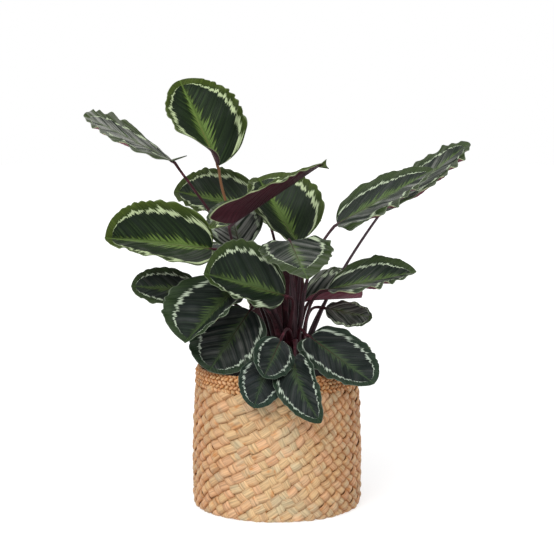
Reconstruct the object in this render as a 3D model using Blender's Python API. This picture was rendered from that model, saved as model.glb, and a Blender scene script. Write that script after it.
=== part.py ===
"""A potted calathea: a woven basket, the grow pot and soil inside it, and each leaf's stalk and blade.

Metres, +Z up. The origin is the middle of the basket's underside, and the plant's front faces -Y.
"""

import math
from dataclasses import dataclass

import bmesh
import bpy
from mathutils import Vector
from mathutils.geometry import interpolate_bezier

# Basket
BASKET_HEIGHT = 0.194
BASKET_FOOT_RADIUS = 0.1085
BASKET_FOOT_ROUNDING = 0.0065
BASKET_BELLY_RADIUS = 0.1160
BASKET_BELLY_HEIGHT = 0.060
BASKET_MOUTH_RADIUS = 0.1105
BASKET_WALL = 0.0045
BASKET_FLOOR = 0.004
WEAVE_CELLS_ROUND = 36
WEAVE_ROWS = 18
WEAVE_RELIEF = 0.0012
BORDER_HEIGHT = 0.020
BORDER_ROWS = 4
BORDER_RELIEF = 0.0008
FOOT_ROWS = 3
RIM_ROUNDING = 0.0015
RIM_BEVEL = 0.0005

# Grow pot and soil, both inside the basket
FIT_GAP = 0.0003
POT_MOUTH_RADIUS = 0.100
POT_FOOT_RADIUS = 0.084
POT_HEIGHT = 0.172
POT_WALL = 0.0016
POT_SIDES = 40
SOIL_BELOW_POT_RIM = 0.010
POT_BOTTOM = BASKET_FLOOR + FIT_GAP
SOIL_TOP = POT_BOTTOM + POT_HEIGHT - SOIL_BELOW_POT_RIM

# Crown: the stalks stand in three rings round this point
CROWN_X = 0.018
CROWN_Y = 0.002
CROWN_RING_RADII = (0.0046, 0.0116, 0.0186)
CROWN_RING_PLACES = (3, 9, 15)
STALK_DEPTH_IN_SOIL = 0.014
STALK_FOOT_RADIUS = 0.0026
STALK_TOP_RADIUS = 0.0019
STALK_STEPS = 7
STALK_STRAIGHT = 0.004
STALK_NECK = 0.020
STALK_KNEE = 0.005
HOLE_SIDES = 8

# Blades
BLADE_THICKNESS = 0.0008
RIB_THICKNESS = 0.0022
RIB_HALF_WIDTH = 0.0016
BLADE_STUB_HALF_WIDTH = 0.0016
BLADE_TIP_HALF_WIDTH = 0.0010
BLADE_ROWS = 11
BLADE_OUTER_COLUMN = 0.55
BLADE_COLUMNS = 6
BLADE_STALK_GAP = 0.00095

# Meshing
MERGE_DISTANCE = 1e-6
SHARP_DEGREES = 45

# Finishes: colour and roughness
LEAF_GREEN = ((0.035, 0.085, 0.030, 1.0), 0.42)
STALK_MAROON = ((0.085, 0.020, 0.028, 1.0), 0.5)
SEAGRASS = ((0.62, 0.40, 0.21, 1.0), 0.7)
POT_BROWN = ((0.045, 0.030, 0.024, 1.0), 0.5)
SOIL_DARK = ((0.030, 0.020, 0.014, 1.0), 0.95)


@dataclass(frozen=True)
class Leaf:
    """One leaf: where its stalk stands, where its blade is and how that is bent.

    place is the stalk's ring in the crown and its place in that ring. base and tip are the
    ends of the midrib, and facing is the way that the upper face looks at mid-blade. The
    right half is the one on the right where the tip points up and the upper face is seen.
    folds and gathers are (left, right) in degrees: how far each half rises from the midrib,
    and how much more it rises at the base. bow lifts the middle of the midrib off its chord,
    and lobe draws the base's corners back. twist is how far the facing turns to the right
    from base to tip, most of it near the base. shoulder and point are 0.5 for a base and a
    tip as round as an ellipse's, more for pointed ones and less for blunt ones. wave is how
    far the margin swings to each side. lift is how the stalk sets off from its foot, and
    neck is where it bends towards the blade, from the blade's base, if that isn't in line
    with the midrib.
    """

    name: str
    place: tuple
    base: tuple
    tip: tuple
    facing: tuple
    width: float
    folds: tuple = (10.0, 10.0)
    gathers: tuple = (0.0, 0.0)
    bow: float = 0.0
    lobe: float = 0.0
    twist: float = 0.0
    shoulder: float = 0.5
    point: float = 0.55
    wave: float = 0.0022
    lift: tuple = (0.0, 0.0, 0.10)
    neck: tuple = ()


LEAVES = (
    Leaf("top", (1, 3), (-0.083, 0.055, 0.469), (-0.138, 0.080, 0.589), (0.45, -0.87, 0.30),
         0.130, folds=(28, 27), gathers=(24, 0), twist=-35, point=0.6, lift=(-0.01, 0.03, 0.12),
         neck=(0.006, 0.0, -0.080)),
    Leaf("far_left", (1, 4), (-0.147, 0.040, 0.477), (-0.265, 0.005, 0.540), (0.39, -0.48, 0.83),
         0.075, folds=(14, 0), twist=-10, wave=0.0022, shoulder=0.75, lift=(0.0, 0.01, 0.12),
         neck=(0.025, 0.008, -0.040)),
    Leaf("back_left", (0, 1), (-0.027, 0.100, 0.404), (-0.149, 0.110, 0.431), (0.17, -0.64, 0.81),
         0.110, folds=(20, 20)),
    Leaf("inner_left", (0, 2), (-0.051, 0.000, 0.358), (-0.069, 0.045, 0.421), (0.0, -0.8, 0.6),
         0.080),
    Leaf("rolled", (1, 5), (-0.061, -0.045, 0.394), (0.064, -0.010, 0.475), (-0.54, -0.04, 0.84),
         0.100, folds=(20, 17), gathers=(0, 45), lobe=0.055, shoulder=0.35, point=0.75,
         lift=(0.0, 0.02, 0.12), neck=(0.0, 0.045, -0.050)),
    Leaf("upright", (0, 0), (0.028, 0.035, 0.361), (-0.027, 0.085, 0.451), (0.43, -0.87, 0.34),
         0.132, folds=(36, 28), shoulder=0.46),
    Leaf("wide_left", (2, 7), (-0.090, -0.005, 0.357), (-0.234, -0.030, 0.374), (0.05, -0.87, 0.58),
         0.118, folds=(46, 36), gathers=(-30, 0), lobe=0.012, point=0.45),
    Leaf("right", (1, 0), (0.083, 0.000, 0.391), (0.213, -0.020, 0.467), (-0.43, -0.50, 0.81),
         0.112, folds=(0, 16), shoulder=0.42, point=0.7, lift=(0.0, 0.0, 0.14), neck=(-0.030, 0.0, -0.035)),
    Leaf("far_right", (2, 2), (0.151, 0.070, 0.405), (0.274, 0.080, 0.501), (-0.56, -0.39, 0.77),
         0.088, folds=(5, 9), point=0.52, lift=(0.01, 0.05, 0.085), neck=(-0.008, 0.03, -0.016)),
    Leaf("mid_right", (2, 14), (0.070, -0.020, 0.302), (0.188, -0.050, 0.330), (-0.17, -0.54, 0.88),
         0.086, folds=(13, 24), point=0.75, shoulder=0.65),
    Leaf("front", (1, 8), (0.018, -0.020, 0.369), (0.040, -0.120, 0.328), (0.0, -0.4, 0.9),
         0.100, shoulder=0.42,
         point=0.8),
    Leaf("centre_left", (1, 6), (0.010, -0.038, 0.296), (-0.098, -0.063, 0.329), (0.16, -0.79, 0.63),
         0.118, folds=(36, 34), twist=25, point=0.45, shoulder=0.6),
    Leaf("under_right", (1, 1), (0.040, 0.020, 0.283), (0.119, 0.040, 0.284), (-0.1, -0.35, 0.94),
         0.090, folds=(50, 50), point=0.45, neck=(-0.006, 0.0, -0.020)),
    Leaf("lower_left", (2, 9), (-0.055, -0.020, 0.307), (-0.122, -0.095, 0.240), (-0.46, -0.80, 0.46),
         0.127, folds=(35, 33), twist=20, point=0.42, shoulder=0.6),
    Leaf("small_left", (2, 8), (-0.106, -0.016, 0.298), (-0.199, -0.026, 0.308), (0.06, -0.77, 0.72),
         0.066, folds=(14, 12), point=0.5),
    Leaf("lower_mid_left", (2, 10), (-0.037, -0.030, 0.275), (-0.091, -0.078, 0.199), (-0.36, -0.91, 0.31),
         0.109, point=0.45),
    Leaf("small_centre", (1, 7), (0.005, -0.078, 0.241), (-0.017, -0.138, 0.201), (0.35, -0.70, 0.60),
         0.058),
    Leaf("drooping_left", (2, 11), (-0.009, -0.085, 0.212), (-0.030, -0.140, 0.161), (0.0, -0.8, 0.5),
         0.064, folds=(2, 2), bow=0.012),
    Leaf("drooping_centre", (2, 12), (0.023, -0.086, 0.218), (0.057, -0.150, 0.143), (-0.34, -0.93, 0.10),
         0.066, folds=(20, 34), point=0.7, bow=0.020),
    Leaf("lower_right", (2, 13), (0.046, -0.040, 0.239), (0.129, -0.100, 0.186), (0.35, -0.80, 0.57),
         0.090, folds=(4, 10), lobe=0.016, shoulder=0.42),
    Leaf("small_right", (2, 0), (0.068, 0.010, 0.273), (0.132, 0.000, 0.261), (0.16, -0.63, 0.84),
         0.052, folds=(-5, -5)),
    Leaf("rear_left", (2, 5), (-0.050, 0.100, 0.330), (-0.130, 0.190, 0.345), (-0.3, 0.3, 0.9),
         0.100, lift=(0.0, 0.05, 0.08)),
    Leaf("rear_high", (1, 2), (0.022, 0.110, 0.370), (0.010, 0.225, 0.400), (0.0, 0.35, 0.9),
         0.100),
    Leaf("rear_right", (2, 3), (0.070, 0.085, 0.295), (0.155, 0.165, 0.325), (0.1, 0.3, 0.9),
         0.090),
    Leaf("rear_low_left", (2, 6), (-0.045, 0.050, 0.262), (-0.115, 0.130, 0.225), (-0.3, 0.3, 0.9),
         0.095, lift=(-0.01, 0.01, 0.06)),
    Leaf("rear_low", (2, 4), (0.000, 0.106, 0.345), (-0.004, 0.156, 0.215), (0.0, 0.93, 0.36), 0.088,
         lift=(0.0, 0.01, 0.09)),
    Leaf("rear_low_right", (2, 1), (0.065, 0.050, 0.230), (0.120, 0.118, 0.190), (0.3, 0.3, 0.9),
         0.085, lift=(0.01, 0.0, 0.06)),
)


def outline(leaf, s):
    """Half-width of the blade at s along its midrib, as a share of its greatest half-width."""

    def shape(at):
        return at**leaf.shoulder * (1.0 - at) ** leaf.point

    widest = leaf.shoulder / (leaf.shoulder + leaf.point)
    return shape(min(max(s, 0.0), 1.0)) / shape(widest)


def row_place(row):
    """Place of a row along the midrib: rows lie closer where the outline turns, at both ends."""
    return 0.5 * (1.0 - math.cos(math.pi * row / BLADE_ROWS))


def column_place(leaf, s, column):
    """Place of a column across the blade: margin, half-way, edge of the rib, and the rib itself."""
    rib = min(BLADE_OUTER_COLUMN / 2.0, RIB_HALF_WIDTH / half_width(leaf, s))
    return (-1.0, -BLADE_OUTER_COLUMN, -rib, 0.0, rib, BLADE_OUTER_COLUMN, 1.0)[column]


def midrib(leaf, s):
    """Midrib point, tangent, rightward direction and upper-face normal at s."""
    base, tip = Vector(leaf.base), Vector(leaf.tip)
    chord = tip - base
    along = chord.normalized()
    facing = Vector(leaf.facing)
    facing = (facing - along * facing.dot(along)).normalized()
    bend = facing * leaf.bow
    point = base + chord * s + bend * (4.0 * s * (1.0 - s))
    tangent = (chord + bend * (4.0 * (1.0 - 2.0 * s))).normalized()
    normal = (facing - tangent * facing.dot(tangent)).normalized()
    across = tangent.cross(normal)
    turn = math.radians(leaf.twist) * (0.5**3 - (1.0 - s) ** 3)
    turned_normal = normal * math.cos(turn) + across * math.sin(turn)
    return point, tangent, tangent.cross(turned_normal), turned_normal


def half_width(leaf, s):
    """Half-width of the blade at s, with the stub at its base and the narrow end at its tip."""
    ends = BLADE_STUB_HALF_WIDTH * (1.0 - s) + BLADE_TIP_HALF_WIDTH * s
    return max(leaf.width / 2.0 * outline(leaf, s), ends)


def blade_point(leaf, s, v):
    """Point of the upper face at s along the midrib and v across it, from -1 to 1."""
    point, tangent, across, normal = midrib(leaf, s)
    hand = 1 if v > 0 else 0
    fold = math.radians(leaf.folds[hand] + leaf.gathers[hand] * (1.0 - s) ** 3)
    full = outline(leaf, s)
    wavy = min(1.0, 2.0 * full * full) * abs(v) ** 3
    ripple = leaf.wave * wavy * math.cos(BLADE_ROWS * math.acos(1.0 - 2.0 * s) + math.pi * hand)
    reach = abs(v) * half_width(leaf, s)
    out = reach * math.cos(fold) - ripple * math.sin(fold)
    up = reach * math.sin(fold) + ripple * math.cos(fold)
    back = leaf.lobe * v * v * full * (1.0 - s) ** 3
    return point + across * math.copysign(out, v) + normal * up - tangent * back


def stalk_foot(leaf):
    """Where the stalk's axis meets the soil's top."""
    ring, place = leaf.place
    angle = 2.0 * math.pi * place / CROWN_RING_PLACES[ring]
    radius = CROWN_RING_RADII[ring]
    return Vector((CROWN_X + radius * math.cos(angle), CROWN_Y + radius * math.sin(angle), SOIL_TOP))


def stalk_path(leaf):
    """Axis of the stalk, from its foot in the soil to its knee, which is in line with the midrib."""
    foot = stalk_foot(leaf)
    start = foot + Vector((0.0, 0.0, STALK_STRAIGHT))
    point, tangent, _, normal = midrib(leaf, 0.0)
    top = point - normal * (RIB_THICKNESS / 2.0) - tangent * BLADE_STALK_GAP
    knee = top - tangent * STALK_KNEE
    neck = Vector(leaf.neck) if leaf.neck else -tangent * STALK_NECK
    curve = interpolate_bezier(start, start + Vector(leaf.lift), knee + neck, knee, STALK_STEPS)
    return [foot - Vector((0.0, 0.0, STALK_DEPTH_IN_SOIL)), *curve, top]


def material(name, finish):
    """A Principled material of one colour and roughness."""
    color, roughness = finish
    made = bpy.data.materials.new(name)
    made.use_nodes = True
    shader = made.node_tree.nodes["Principled BSDF"]
    shader.inputs["Base Color"].default_value = color
    shader.inputs["Roughness"].default_value = roughness
    return made


def add_object(name, data, surface):
    """Put a mesh or a curve in the scene as one named object."""
    made = bpy.data.objects.new(name, data)
    bpy.context.scene.collection.objects.link(made)
    data.materials.append(surface)
    return made


def mesh_from(bm, name):
    """Turn a bmesh into a mesh that is shaded smooth."""
    mesh = bpy.data.meshes.new(name)
    bm.to_mesh(mesh)
    bm.free()
    mesh.shade_smooth()
    return mesh


def build_blade(leaf, surface):
    """The blade: a grid bent to the leaf's form, thin at its margins and thick along its rib."""
    bm = bmesh.new()
    bmesh.ops.create_grid(bm, x_segments=BLADE_COLUMNS, y_segments=BLADE_ROWS, size=1.0)
    ribbed = []
    for vertex in bm.verts:
        column = round((vertex.co.x + 1.0) / 2.0 * BLADE_COLUMNS)
        row = round((vertex.co.y + 1.0) / 2.0 * BLADE_ROWS)
        s = row_place(row)
        vertex.co = blade_point(leaf, s, column_place(leaf, s, column))
        if column == BLADE_COLUMNS // 2 or row == 0:
            ribbed.append(vertex.index)
    bmesh.ops.triangulate(bm, faces=bm.faces[:], quad_method="ALTERNATE")
    blade = add_object(f"blade_{leaf.name}", mesh_from(bm, f"blade_{leaf.name}"), surface)
    blade.vertex_groups.new(name="rib").add(ribbed, 1.0, "REPLACE")
    solidify = blade.modifiers.new("thickness", "SOLIDIFY")
    solidify.thickness = RIB_THICKNESS
    solidify.offset = -1.0
    solidify.vertex_group = "rib"
    solidify.thickness_vertex_group = BLADE_THICKNESS / RIB_THICKNESS
    return blade


def build_stalk(leaf, surface):
    """The stalk: a tapering round stem from the soil to the blade."""
    curve = bpy.data.curves.new(f"stalk_{leaf.name}", "CURVE")
    curve.dimensions = "3D"
    curve.bevel_depth = STALK_FOOT_RADIUS
    curve.bevel_resolution = 1
    curve.use_fill_caps = True
    path = stalk_path(leaf)
    spline = curve.splines.new("POLY")
    spline.points.add(len(path) - 1)
    taper = STALK_TOP_RADIUS / STALK_FOOT_RADIUS
    for index, (point, place) in enumerate(zip(spline.points, path)):
        point.co = (*place, 1.0)
        point.radius = 1.0 + (taper - 1.0) * index / (len(path) - 1)
    return add_object(f"stalk_{leaf.name}", curve, surface)


def turned(name, profile, surface):
    """A turned body: (radius, height) points from the axis, round its outside, back to the axis."""
    bm = bmesh.new()
    vertices = [bm.verts.new((radius, 0.0, height)) for radius, height in profile]
    edges = [bm.edges.new(pair) for pair in zip(vertices, vertices[1:])]
    turn = {"axis": (0, 0, 1), "cent": (0, 0, 0), "angle": 2.0 * math.pi, "steps": POT_SIDES}
    bmesh.ops.spin(bm, geom=vertices + edges, **turn)
    bmesh.ops.remove_doubles(bm, verts=bm.verts[:], dist=MERGE_DISTANCE)
    bmesh.ops.recalc_face_normals(bm, faces=bm.faces[:])
    made = add_object(name, mesh_from(bm, name), surface)
    made.data.set_sharp_from_angle(angle=math.radians(SHARP_DEGREES))
    return made


def basket_radius(z):
    """Outer radius of the basket's side at height z, without its weave."""
    foot = BASKET_FOOT_RADIUS + BASKET_FOOT_ROUNDING
    if z <= BASKET_FOOT_ROUNDING:
        below = 1.0 - z / BASKET_FOOT_ROUNDING
        return BASKET_FOOT_RADIUS + BASKET_FOOT_ROUNDING * math.sqrt(1.0 - below * below)
    if z < BASKET_BELLY_HEIGHT:
        share = (z - BASKET_FOOT_ROUNDING) / (BASKET_BELLY_HEIGHT - BASKET_FOOT_ROUNDING)
        return foot + (BASKET_BELLY_RADIUS - foot) * math.sin(share * math.pi / 2.0)
    share = (z - BASKET_BELLY_HEIGHT) / (BASKET_HEIGHT - BASKET_BELLY_HEIGHT)
    drawn_in = BASKET_BELLY_RADIUS - BASKET_MOUTH_RADIUS
    return BASKET_BELLY_RADIUS - drawn_in * (1.0 - math.cos(share * math.pi / 2.0))


def basket_rings():
    """Radius, height and relief of each ring of the basket, from its underside over the rim to its floor."""
    weave_top = BASKET_HEIGHT - BORDER_HEIGHT
    rings = [(BASKET_FOOT_RADIUS, 0.0, 0.0)]
    for row in range(1, FOOT_ROWS):
        z = BASKET_FOOT_ROUNDING * (1.0 - math.cos(0.5 * math.pi * row / FOOT_ROWS))
        rings.append((basket_radius(z), z, 0.0))
    for row in range(WEAVE_ROWS + 1):
        z = BASKET_FOOT_ROUNDING + (weave_top - BASKET_FOOT_ROUNDING) * row / WEAVE_ROWS
        rings.append((basket_radius(z), z, WEAVE_RELIEF))
    for row in range(1, BORDER_ROWS):
        z = weave_top + BORDER_HEIGHT * row / BORDER_ROWS
        rings.append((basket_radius(z), z, BORDER_RELIEF))
    belly_inside = basket_radius(BASKET_BELLY_HEIGHT) - BASKET_WALL - WEAVE_RELIEF
    rings.append((BASKET_MOUTH_RADIUS - RIM_BEVEL, BASKET_HEIGHT - RIM_ROUNDING, 0.0))
    rings.append((BASKET_MOUTH_RADIUS - RIM_ROUNDING, BASKET_HEIGHT, 0.0))
    rings.append((BASKET_MOUTH_RADIUS - BASKET_WALL, BASKET_HEIGHT, 0.0))
    rings.append((belly_inside, BASKET_BELLY_HEIGHT, 0.0))
    rings.append((BASKET_FOOT_RADIUS - BASKET_WALL, BASKET_FLOOR, 0.0))
    return rings


def build_basket(surface):
    """The basket: one wall and floor, its outside raised into the diamonds of the weave and the border."""
    columns = 2 * WEAVE_CELLS_ROUND
    rings = basket_rings()
    bm = bmesh.new()
    bmesh.ops.create_grid(bm, x_segments=columns, y_segments=len(rings) - 1, size=1.0)
    sunk = set()
    for vertex in bm.verts:
        column = round((vertex.co.x + 1.0) / 2.0 * columns)
        row = round((vertex.co.y + 1.0) / 2.0 * (len(rings) - 1))
        radius, z, relief = rings[row]
        if (row + column) % 2:
            sunk.add(vertex)
            radius -= relief
        angle = 2.0 * math.pi * (column % columns) / columns
        vertex.co = (radius * math.cos(angle), radius * math.sin(angle), z)
    for face in bm.faces[:]:
        bmesh.utils.face_split(face, *[vertex for vertex in face.verts if vertex in sunk])
    bmesh.ops.remove_doubles(bm, verts=bm.verts[:], dist=MERGE_DISTANCE)
    open_edges = [edge for edge in bm.edges if edge.is_boundary]
    for height in (0.0, BASKET_FLOOR):
        ring = [edge for edge in open_edges if abs(edge.verts[0].co.z - height) < MERGE_DISTANCE]
        bmesh.ops.edgeloop_fill(bm, edges=ring)
    bmesh.ops.recalc_face_normals(bm, faces=bm.faces[:])
    basket = add_object("basket", mesh_from(bm, "basket"), surface)
    basket.data.set_sharp_from_angle(angle=math.radians(SHARP_DEGREES))
    return basket


def build_pot(surface):
    """The grow pot that holds the soil."""
    rim = POT_BOTTOM + POT_HEIGHT
    profile = (
        (0.0, POT_BOTTOM),
        (POT_FOOT_RADIUS, POT_BOTTOM),
        (POT_MOUTH_RADIUS, rim),
        (POT_MOUTH_RADIUS - POT_WALL, rim),
        (POT_FOOT_RADIUS - POT_WALL, POT_BOTTOM + POT_WALL),
        (0.0, POT_BOTTOM + POT_WALL),
    )
    return turned("grow_pot", profile, surface)


def pot_inside(z):
    """Inner radius of the grow pot at height z."""
    share = (z - POT_BOTTOM - POT_WALL) / (POT_HEIGHT - POT_WALL)
    return POT_FOOT_RADIUS - POT_WALL + (POT_MOUTH_RADIUS - POT_FOOT_RADIUS) * share


def build_soil(surface):
    """The soil, with a plain hole for each stalk."""
    bottom = POT_BOTTOM + POT_WALL + FIT_GAP
    profile = (
        (0.0, bottom),
        (pot_inside(bottom) - 2.0 * FIT_GAP, bottom),
        (pot_inside(SOIL_TOP) - 2.0 * FIT_GAP, SOIL_TOP),
        (0.0, SOIL_TOP),
    )
    soil = turned("soil", profile, surface)
    bm = bmesh.new()
    radius = (STALK_FOOT_RADIUS + FIT_GAP) / math.cos(math.pi / HOLE_SIDES)
    hole = {"segments": HOLE_SIDES, "radius1": radius, "radius2": radius, "cap_ends": True}
    for leaf in LEAVES:
        made = bmesh.ops.create_cone(bm, **hole, depth=2.0 * (STALK_DEPTH_IN_SOIL + FIT_GAP))
        bmesh.ops.translate(bm, verts=made["verts"], vec=stalk_foot(leaf))
    cutter = add_object("stalk_holes", mesh_from(bm, "stalk_holes"), surface)
    cutter.hide_render = True
    cutter.display_type = "WIRE"
    holes = soil.modifiers.new("stalk_holes", "BOOLEAN")
    holes.operation = "DIFFERENCE"
    holes.object = cutter
    return soil


def main():
    """Build every piece of the plant in its basket."""
    for old in list(bpy.data.objects):
        bpy.data.objects.remove(old)
    leaf_green = material("leaf", LEAF_GREEN)
    stalk_maroon = material("stalk", STALK_MAROON)
    build_basket(material("seagrass", SEAGRASS))
    build_pot(material("pot_plastic", POT_BROWN))
    build_soil(material("soil", SOIL_DARK))
    for leaf in LEAVES:
        build_stalk(leaf, stalk_maroon)
        build_blade(leaf, leaf_green)


main()
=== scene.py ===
"""Dresses the potted calathea: patterned leaves, stalks, woven basket, grow pot, soil, light and camera.

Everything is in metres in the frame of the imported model: +Z up, the origin in the middle of the
basket's underside, and the plant's front facing -Y.
"""

from __future__ import annotations

import functools
import itertools
import logging
import math
import random
from dataclasses import dataclass, field
from enum import Enum
from typing import Callable

import bmesh
import bpy
from mathutils import Matrix, Vector, noise
from mathutils.geometry import interpolate_bezier

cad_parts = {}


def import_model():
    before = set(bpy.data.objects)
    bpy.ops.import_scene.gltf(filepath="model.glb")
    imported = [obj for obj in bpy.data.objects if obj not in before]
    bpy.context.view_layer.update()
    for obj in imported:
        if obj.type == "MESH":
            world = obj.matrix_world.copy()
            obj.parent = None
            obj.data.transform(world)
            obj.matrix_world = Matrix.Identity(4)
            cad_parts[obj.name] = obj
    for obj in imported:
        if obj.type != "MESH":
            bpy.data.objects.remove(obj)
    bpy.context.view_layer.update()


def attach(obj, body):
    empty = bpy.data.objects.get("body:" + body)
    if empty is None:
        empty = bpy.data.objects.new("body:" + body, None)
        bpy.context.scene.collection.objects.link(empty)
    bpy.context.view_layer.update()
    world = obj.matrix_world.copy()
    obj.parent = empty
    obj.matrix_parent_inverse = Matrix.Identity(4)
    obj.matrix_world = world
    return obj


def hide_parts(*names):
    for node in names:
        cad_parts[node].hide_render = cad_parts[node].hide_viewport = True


LOG = logging.getLogger("calathea")
TAU = 2.0 * math.pi
MERGE_DISTANCE = 1e-6
ROOT = "root"
SOIL_TOP = 0.1663

WHITE = (1.0, 1.0, 1.0)

Triple = tuple[float, float, float]
Color = Triple
Socket = bpy.types.NodeSocket
Place = Callable[[float, float], Vector]
Reading = Callable[[float, float], float]
Crossing = Callable[[float, float, float], Vector]


class Half(Enum):
    """The two halves of a blade, seen from above with its tip pointing up."""

    LEFT = 0
    RIGHT = 1


class Family(Enum):
    """The two families of strips in the basket's weave."""

    RISING = 0
    FALLING = 1


class StalkTone(Enum):
    """The stalks' colours, as shares of purple and of tawny over the maroon."""

    MAROON = (0.0, 0.0)
    PURPLE = (1.0, 0.0)
    MAUVE = (0.5, 0.0)
    TAWNY = (0.1, 1.0)


class Slot(Enum):
    """The record's material slots."""

    SEAGRASS = "seagrass"
    POT = "pot_plastic"
    SOIL = "soil"
    LEAF = "leaf"
    STALK = "stalk"


@dataclass(frozen=True)
class Tab:
    """A loose scrap of a blade, as a ribbon that starts at the blade.

    start and end are its ends, facing is the way that its upper face looks, and widths are its
    widths at both ends. curl is how far it rolls, as a share of its width, and hollow is how
    deep its end is cut, as a share of its length.
    """

    start: Triple
    end: Triple
    facing: Triple
    widths: tuple[float, float]
    curl: float = 0.12
    hollow: float = 0.18

    def point(self, u: float, w: float) -> Vector:
        """Point of the ribbon.

        Args:
            u: Share of the way across.
            w: Share of the way along.

        Returns:
            The point.
        """
        start, run = Vector(self.start), Vector(self.end) - Vector(self.start)
        facing = Vector(self.facing).normalized()
        across = run.cross(facing).normalized()
        width = self.widths[0] + (self.widths[1] - self.widths[0]) * w
        along = w - self.hollow * w * math.sin(u * math.pi)
        lift = self.curl * width * math.cos(u * TAU * 1.5)
        return start + run * along + across * (u - 0.5) * width + facing * lift


@dataclass(frozen=True)
class Leaf:
    """One leaf: where its stalk stands, where its blade is, how that is bent and how it is marked.

    place is the stalk's ring in the crown and its place in that ring. base and tip are the
    ends of the midrib, and facing is the way that the upper face looks at mid-blade. folds
    and gathers are (left, right) in degrees: how far each half rises from the midrib, and
    how much more it rises at the base. bow lifts the middle of the midrib off its chord,
    and lobe draws the base's corners back. twist is how far the facing turns to the right
    from base to tip. shoulder and point are 0.5 for a round base and tip, more for pointed
    ones and less for blunt ones. lift is how the stalk sets off, and neck is where it bends
    towards the blade. ring_end is where along the midrib the pale ring closes, and rings is
    how far out it lies on the left and on the right half. age runs from 0 for a fresh green
    leaf to 1 for an old dark one. blooms are how strongly a painted grey sheen covers
    both halves, frills are how deep the margin's pleats are on both halves, stalk is the
    stalk's colour, and tab is a loose scrap of the blade.
    """

    name: str
    place: tuple[int, int]
    base: Triple
    tip: Triple
    facing: Triple
    width: float
    folds: tuple[float, float] = (10.0, 10.0)
    gathers: tuple[float, float] = (0.0, 0.0)
    bow: float = 0.0
    lobe: float = 0.0
    twist: float = 0.0
    shoulder: float = 0.5
    point: float = 0.55
    lift: Triple = (0.0, 0.0, 0.10)
    neck: tuple[float, ...] = ()
    ring_end: float = 0.94
    age: float = 0.5
    rings: tuple[float, float] = (0.76, 0.76)
    blooms: tuple[float, float] = (0.1, 0.1)
    frills: tuple[float, float] = (0.7, 0.7)
    stalk: StalkTone = StalkTone.MAROON
    tab: Tab | None = None


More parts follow.
